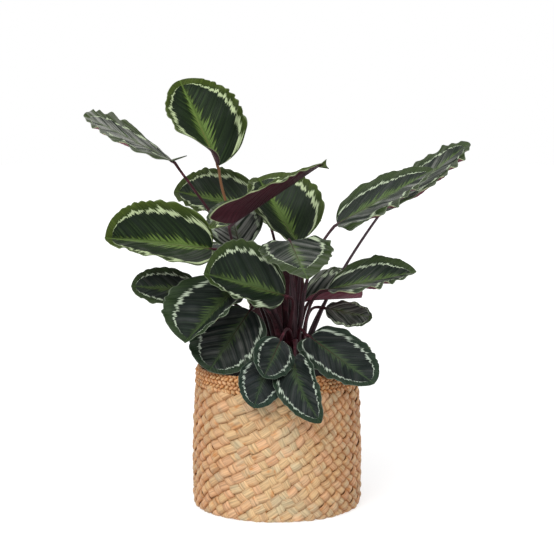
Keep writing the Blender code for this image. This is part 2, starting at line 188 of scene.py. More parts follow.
LEAVES: tuple[Leaf, ...] = (
    Leaf("top", (1, 3), (-0.083, 0.055, 0.469), (-0.138, 0.080, 0.589), (0.45, -0.87, 0.30),
         0.130, folds=(28, 27), gathers=(24, 0), twist=-35, point=0.6, lift=(-0.01, 0.03, 0.12),
         neck=(0.006, 0.0, -0.080), age=0.0, rings=(0.80, 0.76), blooms=(0.0, 0.0),
         frills=(0.5, 1.4), stalk=StalkTone.TAWNY),
    Leaf("far_left", (1, 4), (-0.147, 0.040, 0.477), (-0.265, 0.005, 0.540), (0.39, -0.48, 0.83),
         0.075, folds=(14, 0), twist=-10, shoulder=0.75, lift=(0.0, 0.01, 0.12),
         neck=(0.025, 0.008, -0.040), age=0.4, blooms=(2.4, 2.1), frills=(1.5, 1.5), rings=(0.58, 0.55),
         tab=Tab((-0.147, 0.040, 0.477), (-0.1256, 0.030, 0.484), (0.1, -0.5, 0.8), (0.0050, 0.0012))),
    Leaf("back_left", (0, 1), (-0.027, 0.100, 0.404), (-0.149, 0.110, 0.431), (0.17, -0.64, 0.81),
         0.110, folds=(20, 20), age=0.15, frills=(1.0, 1.0), rings=(0.78, 0.74)),
    Leaf("inner_left", (0, 2), (-0.051, 0.000, 0.358), (-0.069, 0.045, 0.421), (0.0, -0.8, 0.6),
         0.080, age=0.6, blooms=(1.9, 1.9), stalk=StalkTone.MAUVE),
    Leaf("rolled", (1, 5), (-0.061, -0.045, 0.394), (0.064, -0.010, 0.475), (-0.54, -0.04, 0.84),
         0.100, folds=(20, 17), gathers=(0, 45), lobe=0.055, shoulder=0.35, point=0.75,
         lift=(0.0, 0.02, 0.12), neck=(0.0, 0.045, -0.050), age=0.0, stalk=StalkTone.MAUVE,
         tab=Tab((0.0565, -0.014, 0.4700), (0.0695, -0.014, 0.4735), (-0.1, -1.0, 0.1), (0.0020, 0.0135))),
    Leaf("upright", (0, 0), (0.028, 0.035, 0.361), (-0.027, 0.085, 0.451), (0.43, -0.87, 0.34),
         0.132, folds=(36, 28), shoulder=0.46, age=0.1, rings=(0.8, 0.74), blooms=(0.05, 0.05),
         stalk=StalkTone.MAUVE),
    Leaf("wide_left", (2, 7), (-0.090, -0.005, 0.357), (-0.234, -0.030, 0.374), (0.05, -0.87, 0.58),
         0.118, folds=(46, 36), gathers=(-30, 0), lobe=0.012, point=0.45, age=0.05,
         rings=(0.84, 0.72), blooms=(0.36, 0.0), frills=(0.5, 0.8)),
    Leaf("right", (1, 0), (0.083, 0.000, 0.391), (0.213, -0.020, 0.467), (-0.43, -0.50, 0.81),
         0.112, folds=(0, 16), shoulder=0.42, point=0.7, stalk=StalkTone.MAUVE, lift=(0.0, 0.0, 0.14),
         neck=(-0.030, 0.0, -0.035), age=0.52, blooms=(0.12, 0.72), frills=(0.3, 2.0), rings=(0.60, 0.74)),
    Leaf("far_right", (2, 2), (0.151, 0.070, 0.405), (0.274, 0.080, 0.501), (-0.56, -0.39, 0.77),
         0.088, folds=(5, 9), point=0.52, lift=(0.01, 0.05, 0.085), neck=(-0.008, 0.03, -0.016),
         age=0.5, blooms=(0.46, 0.85), frills=(0.8, 2.0), rings=(0.66, 0.72), stalk=StalkTone.PURPLE),
    Leaf("mid_right", (2, 14), (0.070, -0.020, 0.302), (0.188, -0.050, 0.330), (-0.17, -0.54, 0.88),
         0.086, folds=(13, 24), point=0.75, shoulder=0.65, age=0.55, blooms=(0.15, 0.76), frills=(0.3, 1.8),
         rings=(0.62, 0.76)),
    Leaf("front", (1, 8), (0.018, -0.020, 0.369), (0.040, -0.120, 0.328), (0.0, -0.4, 0.9),
         0.100, shoulder=0.42, point=0.8, age=0.5, blooms=(0.46, 0.50), frills=(1.6, 1.2), rings=(0.74, 0.74),
         ring_end=0.76, stalk=StalkTone.MAUVE),
    Leaf("centre_left", (1, 6), (0.010, -0.038, 0.296), (-0.098, -0.063, 0.329), (0.16, -0.79, 0.63),
         0.118, folds=(36, 34), twist=25, point=0.45, shoulder=0.6, age=0.45, rings=(0.84, 0.72),
         frills=(0.8, 0.6), blooms=(0.05, 0.05)),
    Leaf("under_right", (1, 1), (0.040, 0.020, 0.283), (0.119, 0.040, 0.284), (-0.1, -0.35, 0.94),
         0.090, folds=(50, 50), point=0.45, neck=(-0.006, 0.0, -0.020), age=0.5, blooms=(1.6, 1.6)),
    Leaf("lower_left", (2, 9), (-0.055, -0.020, 0.307), (-0.122, -0.095, 0.240), (-0.46, -0.80, 0.46),
         0.127, folds=(35, 33), twist=20, point=0.42, shoulder=0.6, age=0.7, rings=(0.76, 0.68)),
    Leaf("small_left", (2, 8), (-0.106, -0.016, 0.298), (-0.199, -0.026, 0.308), (0.06, -0.77, 0.72),
         0.066, folds=(14, 12), point=0.5, age=0.6, rings=(0.68, 0.68)),
    Leaf("lower_mid_left", (2, 10), (-0.037, -0.030, 0.275), (-0.091, -0.078, 0.199), (-0.36, -0.91, 0.31),
         0.109, point=0.45, blooms=(0.33, 0.25), age=0.85, rings=(0.72, 0.68)),
    Leaf("small_centre", (1, 7), (0.005, -0.078, 0.241), (-0.017, -0.138, 0.201), (0.35, -0.70, 0.60),
         0.058, age=0.95, rings=(0.72, 0.68)),
    Leaf("drooping_left", (2, 11), (-0.009, -0.085, 0.212), (-0.030, -0.140, 0.161), (0.0, -0.8, 0.5),
         0.064, folds=(2, 2), bow=0.012, age=1.0, rings=(0.68, 0.76)),
    Leaf("drooping_centre", (2, 12), (0.023, -0.086, 0.218), (0.057, -0.150, 0.143), (-0.34, -0.93, 0.10),
         0.066, folds=(20, 34), point=0.7, bow=0.020, age=0.9),
    Leaf("lower_right", (2, 13), (0.046, -0.040, 0.239), (0.129, -0.100, 0.186), (0.35, -0.80, 0.57),
         0.090, folds=(4, 10), lobe=0.016, shoulder=0.42, age=0.9, rings=(0.74, 0.70)),
    Leaf("small_right", (2, 0), (0.068, 0.010, 0.273), (0.132, 0.000, 0.261), (0.16, -0.63, 0.84),
         0.052, folds=(-5, -5), age=0.5, rings=(0.9, 0.9), blooms=(0.95, 0.80)),
    Leaf("rear_left", (2, 5), (-0.050, 0.100, 0.330), (-0.130, 0.190, 0.345), (-0.3, 0.3, 0.9),
         0.100, lift=(0.0, 0.05, 0.08), age=0.3),
    Leaf("rear_high", (1, 2), (0.022, 0.110, 0.370), (0.010, 0.225, 0.400), (0.0, 0.35, 0.9),
         0.100, age=0.1),
    Leaf("rear_right", (2, 3), (0.070, 0.085, 0.295), (0.155, 0.165, 0.325), (0.1, 0.3, 0.9),
         0.090, age=0.4),
    Leaf("rear_low_left", (2, 6), (-0.045, 0.050, 0.262), (-0.115, 0.130, 0.225), (-0.3, 0.3, 0.9),
         0.095, lift=(-0.01, 0.01, 0.06), age=0.7),
    Leaf("rear_low", (2, 4), (0.000, 0.106, 0.345), (-0.004, 0.156, 0.215), (0.0, 0.93, 0.36), 0.088,
         lift=(0.0, 0.01, 0.09), age=0.8),
    Leaf("rear_low_right", (2, 1), (0.065, 0.050, 0.230), (0.120, 0.118, 0.190), (0.3, 0.3, 0.9),
         0.085, lift=(0.01, 0.0, 0.06), age=0.7),
)


def smooth(low: float, high: float, value: float) -> float:
    """Ease from 0 at low to 1 at high.

    Args:
        low: Where the result leaves 0.
        high: Where the result reaches 1.
        value: The place to read.

    Returns:
        The eased share.
    """
    share = min(max((value - low) / (high - low), 0.0), 1.0)
    return share * share * (3.0 - 2.0 * share)


def chance(*keys: float) -> float:
    """A repeatable number from -1 to 1 that varies smoothly with up to three keys.

    Args:
        keys: The coordinates to read the noise at.

    Returns:
        The noise there.
    """
    padded = (*keys, 0.37, 0.71)[:3]
    return noise.noise(Vector(padded))


def dimmed(place: float, below: float, above: float) -> float:
    """How much painted shade a strip gets across one way: most at its lower end and less at its upper end.

    Args:
        place: Distance from the strip's middle.
        below: Where its lower end is.
        above: Where its upper end is.

    Returns:
        The share of painted shade.
    """
    return 0.85 * smooth(0.25, 1.05, -place / below) + 0.55 * smooth(0.60, 1.05, place / above)


def placed(name: str, data: bpy.types.ID) -> bpy.types.Object:
    """Put data into the scene as an object of that name.

    Args:
        name: The object's name.
        data: Its mesh, light or camera.

    Returns:
        The object.
    """
    made = bpy.data.objects.new(name, data)
    bpy.context.scene.collection.objects.link(made)
    return made


class Patchwork:
    """A mesh made of grid patches, each mapped through a function, with values stored at its points."""

    def __init__(self, *values: str) -> None:
        """Start an empty mesh with one named value at each point for each name given."""
        self.bm = bmesh.new()
        self.layers = {name: self.bm.verts.layers.float.new(name) for name in values}

    def patch(self, columns: int, rows: int, place: Place, **values: float | Reading) -> None:
        """Add one grid and move its points.

        Args:
            columns: Faces across.
            rows: Faces along.
            place: Gives the point for a share across and a share along, each from 0 to 1.
            values: What each named value is, as a number or as a function of the same shares.
        """
        made = bmesh.ops.create_grid(self.bm, x_segments=columns, y_segments=rows, size=0.5)
        for vertex in made["verts"]:
            across = vertex.co.x + 0.5
            along = vertex.co.y + 0.5
            vertex.co = place(across, along)
            for name, value in values.items():
                vertex[self.layers[name]] = value(across, along) if callable(value) else value

    def spun(self, profile: list[tuple[float, float]], sides: int) -> None:
        """Add a turned body.

        Args:
            profile: Radius and height of points, in order round the outside.
            sides: Steps round the axis.
        """
        vertices = [self.bm.verts.new((radius, 0.0, height)) for radius, height in profile]
        edges = [self.bm.edges.new(pair) for pair in zip(vertices, vertices[1:])]
        bmesh.ops.spin(self.bm, geom=vertices + edges, axis=(0, 0, 1), cent=(0, 0, 0),
                       angle=TAU, steps=sides, use_merge=True)

    def finish(self, name: str, materials: list[bpy.types.Material], slot: Slot,
               replaced: tuple[str, ...] = (), outward: bool = False) -> bpy.types.Object:
        """Turn the patches into one object of the scene that rides on the part.

        Args:
            name: The piece's name.
            materials: Its materials, in the order of its faces' indices.
            slot: The record's slot; not used.
            replaced: CAD nodes that it stands for.
            outward: Whether its faces are turned to point outwards.

        Returns:
            The new object.
        """
        bmesh.ops.remove_doubles(self.bm, verts=self.bm.verts[:], dist=MERGE_DISTANCE)
        if outward:
            bmesh.ops.recalc_face_normals(self.bm, faces=self.bm.faces[:])
        mesh = bpy.data.meshes.new(name)
        self.bm.to_mesh(mesh)
        self.bm.free()
        mesh.shade_smooth()
        for made in materials:
            mesh.materials.append(made)
        piece = placed(name, mesh)
        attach(piece, ROOT)
        if replaced:
            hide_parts(*replaced)
        LOG.info("%s: %d faces", name, len(mesh.polygons))
        return piece


def thicken(piece: bpy.types.Object, thickness: float) -> bpy.types.SolidifyModifier:
    """Give a sheet its thickness, below the faces it has.

    Args:
        piece: The sheet.
        thickness: Its thickness in metres.

    Returns:
        The modifier.
    """
    solid = piece.modifiers.new("thickness", "SOLIDIFY")
    solid.thickness = thickness
    solid.offset = -1.0
    return solid


class Nodes:
    """The nodes of a material or of the surround."""

    def __init__(self, tree: bpy.types.NodeTree) -> None:
        """Take the tree to work on."""
        self.tree = tree

    def node(self, kind: str, inputs: dict[str | int, object] | None = None,
             **settings: object) -> bpy.types.Node:
        """Add a node.

        Args:
            kind: Its type.
            inputs: What goes to each input, as a socket to link or a value to set.
            settings: Its own properties.

        Returns:
            The new node.
        """
        made = self.tree.nodes.new(kind)
        for key, value in settings.items():
            setattr(made, key, value)
        for key, value in (inputs or {}).items():
            self.feed(made.inputs[key], value)
        return made

    def feed(self, socket: Socket, value: object) -> None:
        """Link a socket to an input, or set the input's value.

        Args:
            socket: The input.
            value: A socket, a number or a colour.
        """
        if isinstance(value, Socket):
            self.tree.links.new(value, socket)
        elif socket.type == "RGBA":
            socket.default_value = (*value, 1.0)
        else:
            socket.default_value = value


class Surface(Nodes):
    """A node material under construction."""

    def __init__(self, name: str) -> None:
        """Start a Principled material of that name."""
        self.material = bpy.data.materials.new(name)
        self.material.use_nodes = True
        super().__init__(self.material.node_tree)
        self.shader = self.tree.nodes["Principled BSDF"]

    def values(self, *names: str) -> list[Socket]:
        """The values stored at the mesh's points under those names."""
        return [self.node("ShaderNodeAttribute", attribute_name=name).outputs["Fac"] for name in names]

    def position(self) -> Socket:
        """The place on the object, in metres."""
        return self.node("ShaderNodeTexCoord").outputs["Object"]

    def math(self, operation: str, *values: object) -> Socket:
        """A Math node of that operation on the values."""
        return self.node("ShaderNodeMath", dict(enumerate(values)), operation=operation).outputs[0]

    def times(self, *factors: object) -> Socket:
        """The product of the factors."""
        return functools.reduce(functools.partial(self.math, "MULTIPLY"), factors)

    def total(self, start: object, *terms: tuple[object, float]) -> Socket:
        """The start and all the terms, each one a value and its weight."""
        return functools.reduce(lambda so_far, term: self.math("MULTIPLY_ADD", *term, so_far), terms, start)

    def step(self, value: object, low: object, high: object) -> Socket:
        """Ease from 0 where the value is low to 1 where it is high."""
        inputs = {"Value": value, "From Min": low, "From Max": high}
        return self.node("ShaderNodeMapRange", inputs, interpolation_type="SMOOTHSTEP").outputs["Result"]

    def stripes(self, along: object, scale: float, detail: float = 2.0, roughness: float = 0.6) -> Socket:
        """Noise about 0.5 along one coordinate, with scale bumps to one unit and detail finer octaves."""
        inputs = {"W": along, "Scale": scale, "Detail": detail, "Roughness": roughness}
        return self.node("ShaderNodeTexNoise", inputs, noise_dimensions="1D").outputs["Fac"]

    def swing(self, along: object, scale: float, detail: float = 2.0, roughness: float = 0.6) -> Socket:
        """The same stripes, about 0."""
        return self.math("SUBTRACT", self.stripes(along, scale, detail, roughness), 0.5)

    def cloud(self, vector: object, scale: float, detail: float = 2.0, roughness: float = 0.6) -> Socket:
        """Noise about 0.5 in space, with scale bumps to one unit and detail finer octaves."""
        inputs = {"Vector": vector, "Scale": scale, "Detail": detail, "Roughness": roughness}
        return self.node("ShaderNodeTexNoise", inputs).outputs["Fac"]

    def cells(self, along: object, scale: float) -> tuple[Socket, Socket, Socket]:
        """Uneven steps along one coordinate.

        Args:
            along: That coordinate.
            scale: How many steps it has to one unit.

        Returns:
            How far past the step's middle the place is, the step's own random share, and the
            distance from its middle in steps.
        """
        inputs = {"W": along, "Scale": scale, "Randomness": 0.75}
        made = self.node("ShaderNodeTexVoronoi", inputs, voronoi_dimensions="1D")
        past = self.math("SUBTRACT", along, made.outputs["W"])
        share = self.node("ShaderNodeSeparateColor", {0: made.outputs["Color"]}).outputs[0]
        return past, share, made.outputs["Distance"]

    def vector(self, x: object, y: object, z: object) -> Socket:
        """A vector of three values."""
        return self.node("ShaderNodeCombineXYZ", {0: x, 1: y, 2: z}).outputs[0]

    def mix(self, share: object, first: object, second: object) -> Socket:
        """A colour between two: share is 0 for the first and 1 for the second."""
        made = self.node("ShaderNodeMix", {"Factor": share, 6: first, 7: second}, data_type="RGBA")
        return made.outputs[2]

    def shade(self, color: object, amount: object) -> Socket:
        """A colour multiplied by a number."""
        return self.node("ShaderNodeVectorMath", {0: color, 3: amount}, operation="SCALE").outputs[0]

    def bump(self, height: Socket, distance: float, strength: float = 1.0) -> None:
        """Raise the surface by a share of a height from 0 to 1, where 1 is that distance in metres."""
        made = self.node("ShaderNodeBump", {"Height": height, "Distance": distance, "Strength": strength})
        self.feed(self.shader.inputs["Normal"], made.outputs["Normal"])

    def settle(self, **sockets: object) -> bpy.types.Material:
        """Feed the shader's inputs, named with underscores for spaces, and give the finished material.

        Args:
            sockets: What goes to each input.

        Returns:
            The material.
        """
        for name, value in sockets.items():
            self.feed(self.shader.inputs[name.replace("_", " ")], value)
        return self.material


@dataclass(frozen=True)
class LeafColors:
    """The colours of a blade's upper face at one age."""

    margin: Color
    edge: Color
    dark: Color
    streak: Color
    feather: Color
    ring: Color


FRESH = LeafColors(
    margin=(0.051, 0.077, 0.010),
    edge=(0.028, 0.046, 0.008),
    dark=(0.006, 0.013, 0.005),
    streak=(0.027, 0.050, 0.016),
    feather=(0.150, 0.240, 0.055),
    ring=(0.470, 0.560, 0.310),
)
OLD = LeafColors(
    margin=(0.012, 0.028, 0.018),
    edge=(0.009, 0.020, 0.014),
    dark=(0.003, 0.006, 0.006),
    streak=(0.013, 0.021, 0.019),
    feather=(0.040, 0.068, 0.032),
    ring=(0.430, 0.500, 0.420),
)


@dataclass(frozen=True)
class LeafFinish:
    """How a blade is marked: pale jagged ring, light feather on the midrib, dark field and green margin, with
    painted sheen and painted edge highlights.
    """

    young: LeafColors = FRESH
    old: LeafColors = OLD
    ring_width: float = 0.105
    ring_slope: float = 0.75
    ring_jags: float = 0.30
    ring_steps: float = 8.0
    feather_base: float = 0.155
    feather_width: float = 0.28
    feather_end: float = 0.96
    feather_spikes: float = 20.0
    vein_height: float = 0.0005
    vein_count: float = 150.0
    roughness: float = 0.46
    # The next three colours are painted light: a grey sheen over the upper face, a lighter rosy underside
    # where that sheen is strong, and blue-grey sheen bands.
    bloom: Color = (0.240, 0.245, 0.222)
    rosy: Color = (0.170, 0.050, 0.070)
    sheen: Color = (0.030, 0.036, 0.040)
    underside: Color = (0.028, 0.006, 0.010)
    underside_vein: Color = (0.058, 0.014, 0.020)

    def upper(self) -> bpy.types.Material:
        """The upper face's material.

        Returns:
            The material.
        """
        made = Surface("leaf_upper")
        ring, vein, reach, rim = made.values("ring", "vein", "reach", "rim")
        seed, age, bloom = made.values("seed", "age", "bloom")
        dark, streak, margin, edge, feather, pale = (
            made.mix(age, getattr(self.young, name), getattr(self.old, name))
            for name in ("dark", "streak", "margin", "edge", "feather", "ring")
        )
        line = made.math("ADD", vein, seed)
        shifted = made.math("ADD", line, 3.7)
        fine = made.stripes(line, 90.0, 3.0, 0.7)
        streaks = made.step(made.stripes(shifted, 30.0, 3.0), 0.36, 0.74)
        patches = made.step(made.cloud(made.position(), 32.0, 1.0), 0.34, 0.66)

        saw, size, _ = made.cells(line, self.ring_steps)
        slope = made.times(saw, made.total(self.ring_slope, (age, 0.25)))
        ring = made.total(ring, (slope, 1.0), (made.math("SUBTRACT", size, 0.5), 0.10))
        jag_in = made.swing(line, 42.0, 3.0, 0.7)
        jag_out = made.swing(shifted, 38.0, 3.0, 0.7)
        past_inner = made.step(made.total(ring, (jag_in, self.ring_jags)), 0.975, 1.02)
        width = made.total(self.ring_width, (age, -0.035), (made.swing(shifted, 8.0, 1.0), 0.22))
        outer = made.total(ring, (jag_out, self.ring_jags * 1.25), (width, -1.0))
        past_outer = made.step(outer, 0.975, 1.025)

        _, size, spike = made.cells(made.total(line, (reach, -0.08)), self.feather_spikes)
        spike = made.math("POWER", made.step(spike, 0.62, 0.0), 1.4)
        spike = made.times(spike, made.total(0.45, (size, 0.75)))
        towards_tip = made.math("MAXIMUM", made.math("SUBTRACT", self.feather_end, vein), 0.0)
        grown = made.times(made.step(vein, -0.12, 0.36), made.math("POWER", towards_tip, 0.7))
        rough = made.swing(line, 60.0, 3.0, 0.7)
        half = made.total(self.feather_base, (spike, self.feather_width), (rough, 0.34))
        inside = made.math("SUBTRACT", made.times(grown, half), reach)
        on_feather = made.times(made.step(inside, -0.012, 0.016), made.total(1.0, (age, -0.25)))

        near_ring = made.step(ring, 0.35, 0.95)
        color = made.mix(made.times(streaks, made.total(1.0, (near_ring, -0.75))), dark, streak)
        # Painted sheen: soft blue-grey bands along the veins, in patches, stronger on old leaves.
        sheen_bands = made.step(made.stripes(shifted, 9.0, 2.0, 0.5), 0.38, 0.72)
        color = made.mix(made.times(sheen_bands, patches, made.total(0.15, (age, 0.42))), color, self.sheen)
        margin = made.mix(made.step(ring, 1.08, 1.40), edge, margin)
        margin = made.shade(margin, made.total(0.45, (fine, 0.7), (streaks, 0.4)))
        color = made.mix(past_outer, color, margin)
        plume = made.mix(made.step(inside, 0.0, 0.10), edge, feather)
        color = made.mix(on_feather, color, made.shade(plume, made.total(0.25, (fine, 1.15))))
        # Painted grey sheen: pale streaks along the veins, in patches, half as strong on the margin, scaled
        # by each half's sheen share.
        sheen_streaks = made.step(made.stripes(line, 11.0, 4.0), 0.34, 0.74)
        sheen_streaks = made.times(sheen_streaks, made.total(0.40, (patches, 0.75)), made.total(1.0, (past_outer, -0.5)), bloom)
        color = made.mix(sheen_streaks, color, self.bloom)
        on_ring = made.math("SUBTRACT", past_inner, past_outer)
        color = made.mix(on_ring, color, made.shade(pale, made.total(0.65, (fine, 0.6))))
        color = made.mix(made.times(made.step(reach, 0.030, 0.006), 0.5), color, feather)
        # Painted highlight: a thin pale line along the blade's edge.
        color = made.mix(made.times(made.step(rim, 0.975, 0.995), 0.22), color, pale)

        ridges = made.math("SINE", made.times(line, self.vein_count))
        made.bump(made.total(fine, (ridges, 0.18), (streaks, 0.25)), self.vein_height, 0.8)
        gloss = made.total(self.roughness - 0.05, (streaks, 0.10))
        return made.settle(Base_Color=color, Roughness=gloss, Specular_IOR_Level=0.12)

    def under(self) -> bpy.types.Material:
        """The underside's material.

        Returns:
            The material.
        """
        made = Surface("leaf_under")
        vein, seed, bloom, rim = made.values("vein", "seed", "bloom", "rim")
        line = made.math("ADD", vein, seed)
        fine = made.stripes(line, 60.0, 3.0, 0.7)
        patches = made.cloud(made.position(), 30.0)
        color = made.mix(made.step(fine, 0.45, 0.7), self.underside, self.underside_vein)
        # Painted light: the underside turns a lighter rosy red by the same share as the upper face's painted
        # grey sheen.
        color = made.mix(made.times(bloom, 0.7), color, self.rosy)
        color = made.shade(color, made.total(0.55, (patches, 0.9)))
        # Painted highlight: a thin pale line along the blade's edge.
        color = made.mix(made.times(made.step(rim, 0.95, 0.985), 0.7), color, self.young.ring)
        ridges = made.math("SINE", made.times(line, self.vein_count))
        made.bump(made.total(fine, (ridges, 0.5)), self.vein_height, 0.8)
        return made.settle(Base_Color=color, Roughness=0.55, Specular_IOR_Level=0.15)


@dataclass(frozen=True)
class StalkFinish:
    """The stalks' colours: maroon, purple-grey or tawny below the blade, and redder in mottled patches."""

    maroon: Color = (0.042, 0.005, 0.010)
    dark: Color = (0.016, 0.003, 0.005)
    purple: Color = (0.085, 0.055, 0.066)
    tawny: Color = (0.190, 0.088, 0.040)
    blush: Color = (0.170, 0.035, 0.055)
    roughness: float = 0.42

    def build(self) -> bpy.types.Material:
        """The stalks' material.

        Returns:
            The material.
        """
        made = Surface("stalk_skin")
        along, purple, tawny, side, seed = made.values("along", "purple", "tawny", "side", "seed")
        fibres = made.stripes(made.math("ADD", side, seed), 9.0, 3.0)
        mottle = made.cloud(made.position(), 90.0, 3.0)
        color = made.mix(made.step(fibres, 0.35, 0.65), self.dark, self.maroon)
        color = made.mix(made.times(made.step(mottle, 0.50, 0.75), 0.5), color, self.blush)
        color = made.mix(made.times(purple, made.step(fibres, 0.30, 0.55)), color, self.purple)
        color = made.mix(made.times(tawny, made.step(along, 0.35, 0.75)), color, self.tawny)
        made.bump(fibres, 0.0003, 0.8)
        return made.settle(Base_Color=color, Roughness=self.roughness, Specular_IOR_Level=0.2)


@dataclass(frozen=True)
class SeagrassFinish:
    """Dried seagrass: strips of straw, pink, orange-brown and grey-green with fine fibres along them."""

    straw: Color = (0.610, 0.405, 0.205)
    blush: Color = (0.640, 0.370, 0.200)
    rust: Color = (0.500, 0.195, 0.045)
    sage: Color = (0.450, 0.380, 0.235)
    # shadow and the colour after it are painted shade: the strips' darkened lower edges and the backing seen
    # in the gaps.
    shadow: Color = (0.280, 0.085, 0.008)
    gap_shade: Color = (0.34, 0.15, 0.045)

    def strips(self, name: str, warmth: float) -> bpy.types.Material:
        """The strips' material.

        Args:
            name: The material's name.
            warmth: How much more of the rust colour it has, from 0 to 1.

        Returns:
            The material.
        """
        made = Surface(name)
        tone, tint, along, across, low = made.values("tone", "tint", "along", "across", "low")
        run = made.vector(made.times(along, 22.0), made.times(across, 520.0), made.times(tone, 40.0))
        fibres = made.cloud(run, 1.0, 3.0, 0.65)
        blotch = made.cloud(made.vector(made.times(along, 60.0), made.times(across, 110.0), tint), 1.0)
        region = made.cloud(made.position(), 26.0)
        color = made.mix(made.step(tone, 0.30, 0.85), self.straw, self.blush)
        faded = made.step(made.total(region, (tint, 0.25)), 0.56, 0.84)
        color = made.mix(made.times(faded, 0.75), color, self.sage)
        rusty = made.step(blotch, 0.54 - 0.14 * warmth, 0.78 - 0.1 * warmth)
        color = made.mix(made.times(rusty, 0.8), color, self.rust)
        color = made.mix(0.30 * warmth, color, self.rust)
        level = made.total(0.50, (made.step(fibres, 0.28, 0.66), 0.52), (tint, 0.18))
        # Painted shade: mix towards the shadow colour by the stored low value, darkest at strip edges and on
        # the puffed sides.
        color = made.mix(made.times(low, 0.72), made.shade(color, level), self.shadow)
        made.bump(fibres, 0.0006, 0.8)
        return made.settle(Base_Color=color, Roughness=0.55, Specular_IOR_Level=0.4)

    def liner(self) -> bpy.types.Material:
        """The material of the wall behind the strips, painted in dark shade colours so that the gaps read as
        shadow.

        Returns:
            The material.
        """
        made = Surface("basket_backing")
        fibres = made.cloud(made.position(), 260.0, 3.0, 0.7)
        made.bump(fibres, 0.0008)
        # Painted shade: the backing is darker than the strips, between the shadow colour and a dark
        # orange-brown.
        return made.settle(Base_Color=made.mix(fibres, self.shadow, self.gap_shade), Roughness=0.8)


@dataclass(frozen=True)
class PotFinish:
    """Dark moulded plastic."""

    color: Color = (0.030, 0.022, 0.019)

    def build(self) -> bpy.types.Material:
        """The grow pot's material.

        Returns:
            The material.
        """
        made = Surface("pot_plastic_dark")
        grain = made.cloud(made.position(), 700.0)
        scuffs = made.cloud(made.position(), 45.0, 3.0, 0.7)
        made.bump(grain, 0.0001, 0.6)
        color = made.shade(self.color, made.total(0.7, (scuffs, 0.6)))
        return made.settle(Base_Color=color, Roughness=made.total(0.36, (scuffs, 0.25)))


@dataclass(frozen=True)
class SoilFinish:
    """Dark peaty potting soil with paler crumbs."""

    dark: Color = (0.012, 0.008, 0.006)
    brown: Color = (0.060, 0.034, 0.020)
    crumb: Color = (0.200, 0.150, 0.100)

    def build(self) -> bpy.types.Material:
        """The soil's material.

        Returns:
            The material.
        """
        made = Surface("potting_soil")
        place = made.position()
        fine = made.cloud(place, 420.0, 4.0, 0.7)
        coarse = made.cloud(place, 120.0)
        color = made.mix(fine, self.dark, self.brown)
        color = made.mix(made.times(made.step(coarse, 0.66, 0.74), 0.6), color, self.crumb)
        made.bump(made.total(fine, (coarse, 1.2)), 0.0016)
        return made.settle(Base_Color=color, Roughness=0.92)


@dataclass(frozen=True)
class Frame:
    """One place on a midrib: the point, and the ways along, to the right and up from the upper face."""

    point: Vector
    tangent: Vector
    across: Vector
    normal: Vector


